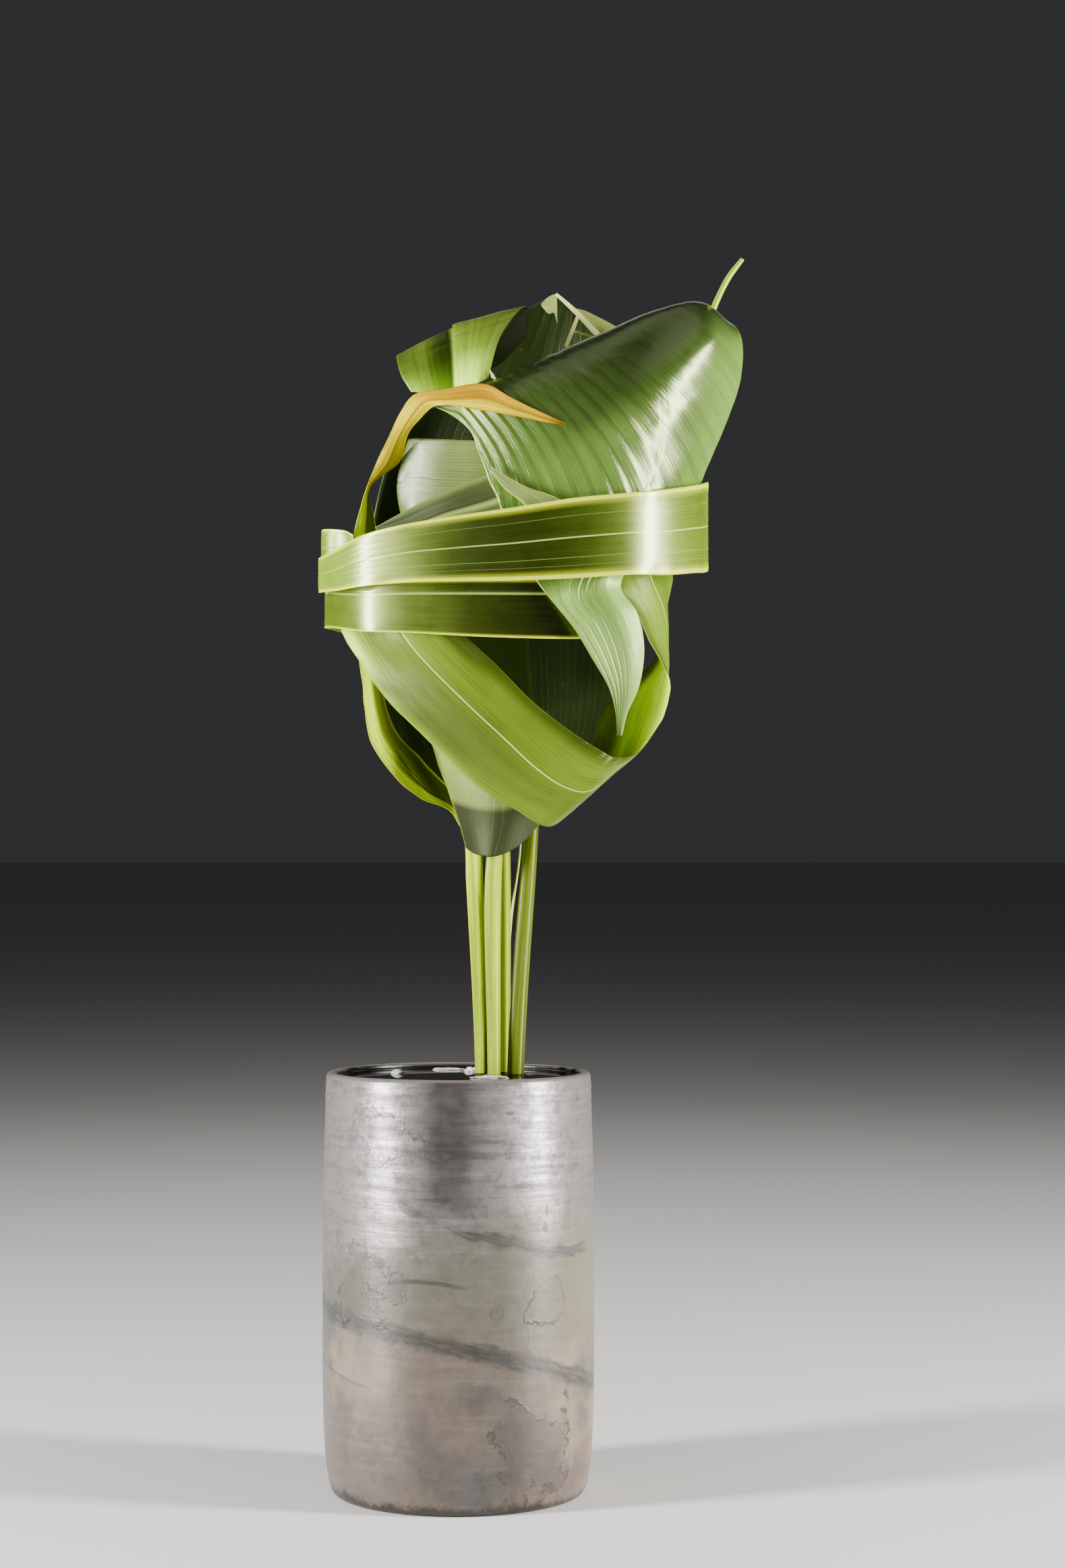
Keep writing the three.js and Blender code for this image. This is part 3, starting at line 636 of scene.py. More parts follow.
def shader_group(title, **given):
    """Makes a builder into a node group, built once. None stands for a vector among what it is given."""
    def decorate(build):
        @functools.cache
        def group():
            tree = bpy.data.node_groups.new(title, "ShaderNodeTree")
            for label, value in given.items():
                kind = "NodeSocketVector" if value is None else "NodeSocketFloat"
                socket = tree.interface.new_socket(name=label.replace("_", " "), in_out="INPUT",
                                                   socket_type=kind)
                if value is not None:
                    socket.default_value = value
            sheet = NodeSheet(tree)
            sockets = sheet.add("NodeGroupInput").outputs
            results = build(sheet, *(Value(sheet, socket) for _, socket in zip(given, sockets)))
            for label in results:
                tree.interface.new_socket(name=label, in_out="OUTPUT", socket_type="NodeSocketFloat")
            sheet.set(sheet.add("NodeGroupOutput"), **results)
            return tree
        return group
    return decorate


@shader_group("Leaf Fibres", Lines=0.0, Along=0.0, Stretch=14.0)
def fibre_group(sheet, lines, along, stretch):
    """Long fibres and parallel veins along a leaf."""
    length = along * stretch
    fine = sheet.noise(sheet.vector(lines, length), 2.6, 3, 0.65)
    broad = sheet.noise(sheet.vector(lines * 0.22, length, 3.0), 1.6, 2, 0.5)
    drift = sheet.noise(sheet.vector(lines * 0.3, length, 7.0), 1.0, 1)
    wave = sheet.math("SINE", (drift * 0.8 + lines) * FULL_TURN)
    return {"Fibres": (fine * 0.55 + broad * 0.45).smooth(0.34, 0.66), "Veins": wave.smooth(0.72, 1.0)}


@shader_group("Leaf Line", Across=0.5, Place=0.5, Half_Width=0.02)
def line_group(sheet, across, place, half_width):
    """One line that follows a leaf at a share of its width."""
    return {"Mask": (abs(across - place) / half_width).smooth(1.0, 0.35)}


@shader_group("Leaf Margin", Across=0.5, Width=0.03)
def margin_group(sheet, across, width):
    """The two edges of a leaf: a pale line and a fainter glow inside it."""
    share = sheet.math("MINIMUM", across, 1.0 - across) / width
    return {"Mask": share.smooth(0.55, 0.30).most(share.smooth(1.0, 0.2) * 0.45)}


@shader_group("Mottle", Vector=None, Scale=60.0, Speck_Scale=260.0)
def mottle_group(sheet, vector, scale, speck_scale):
    """Soft patches and small dry specks over a surface."""
    cells = sheet.add("ShaderNodeTexVoronoi", {"Vector": vector, "Scale": speck_scale})
    near = Value(sheet, cells.outputs["Distance"]).smooth(0.22, 0.10)
    chosen = sheet.noise(vector, speck_scale * 0.21, 1).smooth(0.62, 0.70)
    return {"Patches": sheet.noise(vector, scale, 3, 0.6).smooth(0.32, 0.68), "Specks": near * chosen}


@shader_group("Glaze Drift", Angle=0.0, Height=0.0, From=-0.5, To=0.5, Level=0.1, Slope=0.0, Bend=0.0,
              Half_Width=0.004, Ragged=0.5)
def drift_group(sheet, angle, height, start, stop, level, slope, bend, half_width, ragged):
    """A bent drift of glaze with a ragged edge and marbling, round part of the vase."""
    warp = sheet.noise(sheet.vector(angle, height * 16.0), 4.0, 5, 0.65) - 0.5
    share = (height - (angle * (angle * bend + slope) + level)) / half_width
    band = abs(warp * (ragged * 5.0) + share).smooth(1.2, 0.45)
    marbled = sheet.noise(sheet.vector(angle, share * 0.5, 4.0), 5.0, 4, 0.6).smooth(0.35, 0.6)
    ends = angle.smooth(start, start + 0.2) * angle.smooth(stop, stop - 0.2)
    return {"Mask": band * (marbled * 0.45 + 0.55) * ends}


@shader_group("Glaze Stain", Angle=0.0, Height=0.0, Place=0.0, Level=0.1, Wide=0.2, Tall=0.01, Line=0.12,
              Ragged=1.0, Soft=0.3)
def stain_group(sheet, angle, height, place, level, wide, tall, line, ragged, soft):
    """A ragged stain on the glaze: its soft inside, and the dark line where it dried."""
    warp = sheet.noise(sheet.vector(angle, height * 16.0, place), 3.2, 5, 0.55)
    x, y = (angle - place) / wide, (height - level) / tall
    reach = (warp - 0.5) * (ragged * 4.2) + sheet.math("SQRT", x * x + y * y)
    return {"Inside": reach.smooth(1.0, 1.0 - soft), "Outline": (abs(reach - 1.0) / line).smooth(1.0, 0.2)}


def new_material(name):
    material = bpy.data.materials.new(name)
    material.use_nodes = True
    material.node_tree.nodes.clear()
    sheet = NodeSheet(material.node_tree)
    target = sheet.add("ShaderNodeOutputMaterial")
    shader = sheet.add("ShaderNodeBsdfPrincipled")
    material.node_tree.links.new(shader.outputs["BSDF"], target.inputs["Surface"])
    return material, sheet, shader


def dimmed(colour, factor):
    return tuple(min(1.0, part * factor) for part in colour)


# Leaves

ORANGE = (0.270, 0.105, 0.001)


def painted_leaf_light(sheet, look, across, span, under):
    """Painted light and shade: how light the blade is painted along it and over its width, darker where it
    faces away from the lights or lies in shade and lighter where highlights fall; the profile over the width
    changes along it.
    """
    tone = sheet.tones(span, look["tones"])
    if "sides" in look:
        first, *later = look["sides"]
        sides = sheet.tones(across, first)
        for low, high, stops in later:
            sides = sheet.blend(span.smooth(low, high), sides, sheet.tones(across, stops))
        if "under_sides" in look:
            sides = sheet.blend(under, sides, sheet.tones(across, look["under_sides"]))
        tone = tone * sides
    return tone


def withered_blade(sheet, settings, across, span, fibres):
    """The withered tip's colour: yellow, darker over its inner half, orange in its upper half, partly its own
    orange and partly painted shade on the upper facet, and brown along its crease as painted shade in the
    fold.
    """
    yellow = sheet.mix(fibres, dimmed(settings.withered, 0.8), dimmed(settings.withered, 1.3))
    inner = across.smooth(0.55, 0.40) * span.smooth(0.70, 0.64)
    yellow = sheet.mix(inner, yellow, dimmed(settings.withered, 0.55))
    # Orange upper facet: partly the withered tip's own orange, partly painted shade on the facet that faces
    # away from the light.
    upper_facet_orange_and_shade = across.smooth(0.42, 0.50) * span.smooth(0.74, 0.80) * (fibres * -0.4 + 1.0)
    yellow = sheet.mix(upper_facet_orange_and_shade.most(span.smooth(0.88, 1.02)) * 0.9, yellow, ORANGE)
    # Painted shade: a brown line along the crease of the fold.
    crease = sheet.use(line_group, Across=across, Place=0.45, Half_Width=0.05) * span.smooth(0.56, 0.62)
    return sheet.mix(crease * 0.55, yellow, settings.burnt)


def leaf_material(name, look, settings):
    """Waxy leaf: fibres, veins, midrib, margins, a paler underside, and withering towards the tip, with
    painted light and shade along and over the blade, painted shade in the furrows of the ribs, and painted
    light and shade on the petiole.
    """
    material, sheet, shader = new_material(name)
    across, along, span, ribs, under, stalk = (sheet.mark(label) for label in MARKS)
    body, lower = getattr(settings, look["colour"]), getattr(settings, look["lower"])
    if look["crosswise"]:
        along = across * 0.04
    fibres, veins = sheet.use(fibre_group, Lines=ribs * (look["veins"] / look["pleats"]), Along=along,
                              Stretch=look["stretch"])
    patches, specks = sheet.use(mottle_group, Vector=sheet.place(), Scale=34.0, Speck_Scale=420.0)

    upper = sheet.mix(patches, dimmed(body, 0.80), dimmed(body, 1.15))
    upper = sheet.mix(fibres, upper, dimmed(body, look["streak"]))
    upper = sheet.mix(veins * look["vein_tone"], upper, dimmed(body, 2.6))
    below = sheet.mix(fibres, dimmed(lower, 0.72), dimmed(lower, 1.2))
    # Painted light and shade along and over the blade.
    tone = painted_leaf_light(sheet, look, across, span, under)
    rough = fibres * 0.04 + look["roughness"]
    if "ridge" in look:
        # Painted shade in the furrows between the ribs.
        painted_furrow_shade = sheet.math("COSINE", (fibres * 0.10 + ribs) * FULL_TURN).smooth(0.1, 1.0)
        depth = (ribs.smooth(5.0, 1.0) * 0.14 + 0.09) * (patches * 0.8 + 0.6)
        tone = tone * (1.0 - painted_furrow_shade * depth)
        rough = span.smooth(0.58, 0.74) * 0.07 + rough
    colour = sheet.scale(sheet.mix(under, upper, below), tone)

    width = look["midrib_width"]
    midrib = sheet.use(line_group, Across=across, Place=look["midrib"], Half_Width=width)
    colour = sheet.mix(midrib * look["midrib_tone"], colour, settings.midrib)
    for share, line_tone in look.get("lines", ()):
        line = sheet.use(line_group, Across=across, Place=share, Half_Width=width * 0.55)
        colour = sheet.mix(line * line_tone, colour, settings.midrib)
    margin = sheet.use(margin_group, Across=across, Width=look["margin_width"])
    colour = sheet.mix(margin * look["margin_tone"], colour, settings.margin)
    if "withers" in look:
        dry = ((patches - 0.5) * 0.5 + span.smooth(*look["withers"])).smooth(0.25, 0.75)
        colour = sheet.mix(dry, colour, withered_blade(sheet, settings, across, span, fibres))
        edges = sheet.use(margin_group, Across=across, Width=0.07) * span.smooth(0.74, 0.86)
        colour = sheet.mix(span.smooth(0.965, 1.0).most(edges) * 0.75, colour, settings.burnt)
        rough = dry * 0.28 + rough
    colour = sheet.mix(specks * 0.35, colour, settings.burnt)

    channels = sheet.noise(sheet.vector(across * 5.0, along * 5.0), 1.6).smooth(0.34, 0.66)
    # Painted light and shade on the petiole: each stalk is made lighter or darker for how the lights fall on
    # it and for the stalks beside it.
    stem = dimmed(settings.stem, look["stem_tone"])
    colour = sheet.mix(stalk, colour, sheet.mix(channels, dimmed(stem, 0.5), dimmed(stem, 1.3)))
    relief = (veins * 0.5 + fibres + midrib * -1.2) * (1.0 - stalk)
    sheet.set(shader, Base_Color=colour, Roughness=patches * 0.05 + rough, Coat_Weight=look["coat"],
              Coat_Roughness=0.13, Specular_IOR_Level=look["gloss"], Specular_Tint=look["sheen"],
              Normal=sheet.bump(relief, look["bump"] * MM, 0.8))
    return material


def look_of(stations, slot, colour, **changes):
    """One leaf's build and finish: the usual values, with what differs."""
    return {
        "stations": stations, "slot": slot, "colour": colour, "lower": "lime", "rows": 8, "columns": 40,
        "pleats": 9, "pleat": 0.25, "ripple": 1.0, "midrib": 0.5, "midrib_width": 0.018, "midrib_tone": 0.8,
        "groove": 0.25, "margin_width": 0.035, "margin_tone": 0.85, "veins": 26.0, "stretch": 14.0,
        "tones": ((0, 1), (1, 1)), "vein_tone": 0.3, "streak": 1.25, "roughness": 0.36, "bump": 0.07,
        "coat": 0.12, "gloss": 0.9, "stem_tone": 1.0, "crosswise": False, "sheen": (0.80, 1.0, 0.50),
        "seed": len(stations), **changes,
    }


# tones and sides are painted light and shade along the blade and over its width: darker where a part faces
# away from the lights or lies in shade, lighter where highlights fall, with a profile of its own for the
# lower side; lines are paler lines beside the midrib.
LEAF_LOOKS = {
    # Belt: painted shade over the middle of its front, painted light towards its two ends.
    "leaf_belt": look_of(
        upright(BELT_ROUTE), "leaf_mid", "middle", lower="fresh", columns=48, midrib=0.49, midrib_width=0.013,
        lines=((0.22, 0.15), (0.74, 0.22), (0.84, 0.12)), margin_width=0.13, margin_tone=0.95,
        roughness=0.24, streak=1.08, vein_tone=0.10, bump=0.02, coat=0.5, sheen=(0.86, 1, 0.30),
        tones=((0, 2.4), (0.05, 1.8), (0.10, 1.1), (0.15, 0.45), (0.18, 0.20), (0.24, 0.17), (0.29, 0.35),
               (0.33, 0.8), (0.37, 1.3), (0.9, 1.2), (0.97, 1.8), (1, 1.8))),
    # Band: painted shade that darkens it towards its right-hand end at the front.
    "leaf_band": look_of(
        upright(BAND_ROUTE), "leaf_mid", "middle", lower="fresh", columns=32, midrib=0.24, midrib_width=0.03,
        midrib_tone=0.5, margin_width=0.07, roughness=0.23, streak=1.1, vein_tone=0.10, bump=0.02, coat=0.4,
        sheen=(0.86, 1, 0.30),
        tones=((0, 1.2), (0.58, 1), (0.66, 0.7), (0.73, 0.6), (0.80, 0.20), (0.90, 0.07), (1, 0.05))),
    # Ribbed leaf: painted shade over its top, which faces away from the lights; painted light over its lower
    # left and painted highlights down the hanging tip.
    "leaf_ribbed": look_of(
        RIBBED_STATIONS, "leaf_deep", "deep", rows=12, columns=170, stem=RIBBED_STUB, stem_tone=1.7, pleats=1,
        pleat=1.35, ridge=0.35, ripple=0.25, groove=0, midrib_tone=0, margin_width=0.008, margin_tone=0.35,
        veins=4.0, vein_tone=0.08, stretch=9.0, bump=0.05, roughness=0.20, gloss=1, coat=0,
        sheen=(0.88, 1, 0.50),
        tones=((0, 1.3), (0.10, 1), (0.62, 1), (0.74, 2.1), (0.85, 2), (1, 1.4)),
        sides=(((0, 0.30), (0.40, 0.30), (0.50, 0.38), (0.66, 1), (0.82, 2.5), (1, 3.4)),
               (0.30, 0.42, ((0, 4.6), (0.25, 3.6), (0.42, 2), (0.6, 2.4), (0.85, 3.6), (1, 2.6))))),
    # Loop: painted shade over its inner part, painted light along its outer band.
    "leaf_loop": look_of(
        LOOP_STATIONS, "leaf_fresh", "fresh", columns=28, stem=STALKS["left"], stem_tone=1.7, pleats=4,
        withers=(0.590, 0.625), midrib_tone=0.2, lines=((0.57, 0.6),), margin_width=0.11, gloss=0.02, coat=0,
        sides=(((0, 0.08), (0.66, 0.12), (0.76, 1.7), (0.90, 1.6), (1, 1.1)),
               (0.10, 0.27, ((0, 0.20), (0.52, 0.30), (0.60, 1.6), (1, 2))))),
    # Diagonal: painted shade where the blade turns away, a painted highlight along its left edge, and painted
    # shadow on part of its underside.
    "leaf_diagonal": look_of(
        DIAGONAL_STATIONS, "leaf_mid", "middle", columns=56, midrib_width=0.010, midrib_tone=1,
        margin_width=0.012, margin_tone=0.1, vein_tone=0.15, roughness=0.28, gloss=0.25, coat=0,
        sheen=(0.88, 1, 0.45),
        tones=((0, 1.1), (0.16, 0.95), (0.28, 0.78), (0.39, 0.95), (0.46, 1.1), (0.60, 0.8), (0.68, 1.2),
               (1, 1.2)),
        sides=(((0, 0.25), (0.14, 0.4), (0.26, 1.4), (0.45, 1.5), (0.60, 1.1), (0.80, 1.2), (0.90, 2.4),
                (0.95, 6), (1, 6)),
               (0.10, 0.20, ((0, 0.4), (0.06, 0.5), (0.16, 1.2), (0.35, 1.4), (0.47, 1.2), (0.60, 0.85),
                             (0.9, 0.65), (0.96, 1.3), (1, 2.4))),
               (0.32, 0.42, ((0, 0.4), (0.06, 0.6), (0.16, 1.2), (0.35, 1.4), (0.55, 1), (0.75, 1.1),
                             (1, 1.4)))),
        under_sides=((0, 1.5), (0.74, 1.5), (0.84, 0.30), (1, 0.15))),
    # Cone: painted shade over its lower part, under the diagonal leaf.
    "leaf_cone": look_of(
        CONE_STATIONS, "leaf_grey", "grey", rows=18, columns=56, stem=STALKS["middle"], stem_tone=1.35,
        pleat=0.15, midrib_tone=0, margin_tone=0.2, veins=18.0, vein_tone=0.08, streak=1.08, roughness=0.45,
        gloss=0.4, coat=0, tones=((0, 0.14), (0.39, 0.15), (0.45, 1.4), (1, 2))),
    # Fold: painted shade in the valley of the fold, painted light along its lower front edge.
    "leaf_fold": look_of(
        FOLD_STATIONS, "leaf_grey", "middle", lower="shade", rows=14, columns=56, crosswise=True, pleats=22,
        pleat=0.3, midrib_tone=0, margin_tone=0.05, veins=66.0, streak=1.5, gloss=0.4, coat=0,
        sheen=(0.9, 1, 0.6),
        tones=((0, 1.2), (0.20, 1.7), (0.31, 0.8), (0.38, 0.18), (0.41, 2.1), (0.7, 1.6), (1, 0.9)),
        sides=(((0, 0.5), (0.5, 0.6), (0.64, 0.9), (0.75, 1.6), (0.88, 3), (1, 4.4)),)),
    "leaf_inner_band": look_of(
        INNER_BAND_STATIONS, "leaf_grey", "grey", columns=32, midrib_tone=0, margin_tone=0, gloss=0.7,
        sheen=(0.9, 1, 0.75), tones=((0, 0.6), (0.6, 0.9), (0.8, 1.5), (1, 1.3))),
    "leaf_inner_diagonal": look_of(
        INNER_DIAGONAL_STATIONS, "leaf_deep", "grey", rows=12, pleats=5, pleat=0.9, midrib=0.45,
        midrib_width=0.05, midrib_tone=0.25, margin_tone=0.1, gloss=0.6, sheen=(0.9, 1, 0.75),
        sides=(((0, 1.6), (0.12, 0.45), (0.40, 0.35), (0.47, 2.2), (0.55, 0.7), (0.8, 1.5), (1, 2.2)),)),
    "leaf_small_tip": look_of(
        SMALL_TIP_STATIONS, "leaf_mid", "grey", rows=14, columns=24, pleats=3, margin_width=0.12,
        margin_tone=0.5, tones=((0, 1.8), (1, 1.3))),
    "leaf_interior": look_of(
        INTERIOR_STATIONS, "leaf_dark", "shade", lower="shade", rows=12, columns=48, stem=STALKS["right"],
        stem_tone=0.38, midrib_tone=0.02, margin_tone=0, streak=1.1, gloss=0.5, coat=0,
        tones=((0, 0.6), (0.3, 1), (0.6, 0.6), (1, 0.3))),
    "leaf_back": look_of(
        BACK_STATIONS, "leaf_deep", "deep", lower="shade", rows=12, columns=56, stem=STALKS["rear"],
        pleats=12, pleat=0.4, midrib_tone=0, margin_width=0.01, margin_tone=0, gloss=0.35, coat=0),
}


def make_leaves(context, *names):
    """Each leaf with its petiole, in place of the frame's solid of that name."""
    settings = context.scene.ikebana_leaves
    for name in names:
        look = LEAF_LOOKS[name]
        shells = [leaf_shell(look, settings)]
        if "stem" in look:
            shells.append(stalk_shell(look["stem"]))
        points, faces, marks = join_shells(*shells)
        material = leaf_material(name + "_finish", look, settings)
        make_piece(name + "_blade", points, faces, material, (name,), marks)


class IKEBANA_OT_wrapped_leaves(bpy.types.Operator):
    """Build the belt and the band that wrap the head"""

    bl_idname = "ikebana.wrapped_leaves"
    bl_label = "Wrapped Leaves"

    def execute(self, context):
        make_leaves(context, "leaf_belt", "leaf_band")
        return {"FINISHED"}


class IKEBANA_OT_ribbed_leaf(bpy.types.Operator):
    """Build the large ribbed leaf and its cut petiole"""

    bl_idname = "ikebana.ribbed_leaf"
    bl_label = "Ribbed Leaf"

    def execute(self, context):
        make_leaves(context, "leaf_ribbed")
        return {"FINISHED"}


class IKEBANA_OT_front_leaves(bpy.types.Operator):
    """Build the looping leaf with the withered tip, the diagonal leaf and the cone over the stems"""

    bl_idname = "ikebana.front_leaves"
    bl_label = "Front Leaves"

    def execute(self, context):
        make_leaves(context, "leaf_loop", "leaf_diagonal", "leaf_cone")
        return {"FINISHED"}


class IKEBANA_OT_inner_leaves(bpy.types.Operator):
    """Build the folded leaf, the small tip and the leaves inside the head"""

    bl_idname = "ikebana.inner_leaves"
    bl_label = "Folded and Inner Leaves"

    def execute(self, context):
        make_leaves(context, "leaf_fold", "leaf_inner_band", "leaf_inner_diagonal", "leaf_small_tip",
                    "leaf_interior", "leaf_back")
        return {"FINISHED"}


class IKEBANA_OT_torn_strips(bpy.types.Operator):
    """Build the pale torn strips at the top and the sliver of petiole"""

    bl_idname = "ikebana.torn_strips"
    bl_label = "Torn Strips"

    def execute(self, context):
        settings = context.scene.ikebana_leaves
        for name, stations in STRIPS.items():
            pale = name in ("strip_long", "strip_short", "scrap_fold")
            colour, tone = ("pith", 1) if pale else ("midrib", 0.6)
            look = look_of(stations, "leaf_fresh", colour, lower=colour, rows=10, columns=12, pleats=3,
                           ripple=0.3, groove=0, midrib_tone=0, margin_width=0.05, margin_tone=0.3,
                           roughness=0.5, gloss=0.2, coat=0, tones=((0, tone), (1, tone)))
            points, faces, marks = leaf_shell(look, settings)
            material = leaf_material(name + "_finish", look, settings)
            make_piece(name, points, faces, material, (), marks)
        look = look_of(LOOP_STATIONS, "leaf_fresh", "margin")
        points, faces, marks = stalk_shell(SLIVER, 10, 30)
        marks["stalk"] *= 0.35
        material = leaf_material("sliver_finish", look, settings)
        make_piece("petiole_sliver", points, faces, material, (), marks)
        return {"FINISHED"}


# Vase, water and what floats on it

CLAY, SAND, OCHRE = (0.140, 0.086, 0.060), (0.210, 0.155, 0.105), (0.150, 0.088, 0.050)
UMBER, PLUM, RUST = (0.060, 0.042, 0.036), (0.075, 0.062, 0.070), (0.060, 0.012, 0.008)
SMOKE, PITTED, WORN = (0.040, 0.037, 0.034), (0.030, 0.022, 0.020), (0.20, 0.17, 0.15)

# Marks on the glaze. Angles are in radians to the right of the front, levels and sizes in metres.
DRIFT_SHAPE = ("From", "To", "Level", "Slope", "Bend", "Half_Width", "Ragged")
GLAZE_DRIFTS = [
    (0.85, (-1.7, 1.7, 0.0712, -0.0126, -0.0026, 0.0048, 0.45)),
    (0.75, (-0.55, 1.25, 0.1215, -0.0215, 0.0095, 0.0030, 0.75)),
    (0.85, (-0.75, 0.12, 0.0975, -0.0120, -0.0200, 0.0011, 0.40)),
    (0.50, (-1.6, -0.6, 0.0450, -0.0110, 0.0, 0.0009, 0.60)),
]
STAIN_SHAPE = ("Place", "Level", "Wide", "Tall", "Ragged", "Line", "Soft")
# Soft clouds: tone, colour and shape.
GLAZE_CLOUDS = [
    (0.55, CLAY, (1.15, 0.1420, 0.40, 0.0200, 0.8)),
    (0.60, SAND, (-0.75, 0.0600, 0.50, 0.0260, 0.7)),
    (0.60, SAND, (0.95, 0.0420, 0.42, 0.0380, 0.7)),
    (0.75, SMOKE, (-0.10, 0.0150, 0.70, 0.0220, 0.7)),
]
CLOUD_SOFTNESS = 0.9
# Stains: tone inside, tone of the outline, colour and shape.
GLAZE_STAINS = [
    (0.55, 1.0, UMBER, (0.54, 0.0270, 0.29, 0.0165, 1.1, 0.18)),
    (0.40, 0.0, PLUM, (-0.33, 0.0345, 0.13, 0.0130, 0.8, 0.10)),
    (0.45, 1.0, UMBER, (-0.85, 0.0920, 0.32, 0.0120, 1.1, 0.16)),
    (0.15, 1.0, UMBER, (-0.50, 0.1600, 0.30, 0.0120, 1.1, 0.15)),
    (0.20, 1.0, UMBER, (0.66, 0.0880, 0.14, 0.0100, 0.9, 0.14)),
    (0.15, 0.6, UMBER, (0.28, 0.0863, 0.045, 0.0032, 0.3, 0.30)),
    (0.75, 0.0, SMOKE, (0.38, 0.1698, 0.045, 0.0013, 0.2, 0.30)),
    (0.65, 0.0, RUST, (0.68, 0.1280, 0.020, 0.0032, 0.5, 0.30)),
    (0.65, 0.0, RUST, (0.67, 0.1210, 0.024, 0.0026, 0.5, 0.30)),
]
# A row of small dark dots runs round the front and the sides below the rim.
DOT_ROW = {"Place": 0.151, "Half_Width": 0.0013}


def glaze_zones(sheet, settings, angle, lifted, cloud, height, upper, flank):
    """The glaze without its marks: tan, khaki and mauve, darker at the left and ochre at the right."""
    colour = sheet.mix(lifted.smooth(0.050, 0.088), settings.tan, settings.khaki)
    colour = sheet.mix(upper, colour, settings.mauve)
    to_left = angle.smooth(-0.2, -1.1) * flank
    colour = sheet.mix(to_left * 0.7, colour, dimmed(settings.mauve, 0.75))
    to_right = angle.smooth(0.45, 1.1) * lifted.smooth(0.085, 0.045) * flank
    colour = sheet.mix(to_right * 0.75, colour, OCHRE)
    smoke = cloud.smooth(0.50, 0.64) * height.smooth(0.13, 0.07)
    return sheet.mix(smoke * 0.6, colour, settings.slate)


def glaze_marks(sheet, settings, colour, angle, height, fine, dull):
    """Add clouds, drifts and stains. Gives the colour, the outlines and where the lustre is dulled."""
    broken = fine.smooth(0.42, 0.58) * 0.6 + 0.2
    outlines = 0.0
    for tone, tint, shape in GLAZE_CLOUDS:
        inside, _ = sheet.use(stain_group, Angle=angle, Height=height, Soft=CLOUD_SOFTNESS,
                              **dict(zip(STAIN_SHAPE, shape)))
        colour = sheet.mix(inside * tone, colour, tint)
    for tone, shape in GLAZE_DRIFTS:
        drift = sheet.use(drift_group, Angle=angle, Height=height, **dict(zip(DRIFT_SHAPE, shape))) * tone
        colour = sheet.mix(drift, colour, settings.slate)
        dull = dull.most(drift)
    for tone, line_tone, tint, shape in GLAZE_STAINS:
        inside, line = sheet.use(stain_group, Angle=angle, Height=height, **dict(zip(STAIN_SHAPE, shape)))
        inside, line = inside * tone, line * line_tone * broken
        colour = sheet.mix(line, sheet.mix(inside, colour, tint), settings.burnt)
        outlines, dull = line.most(outlines), dull.most(inside)
    return colour, outlines, dull


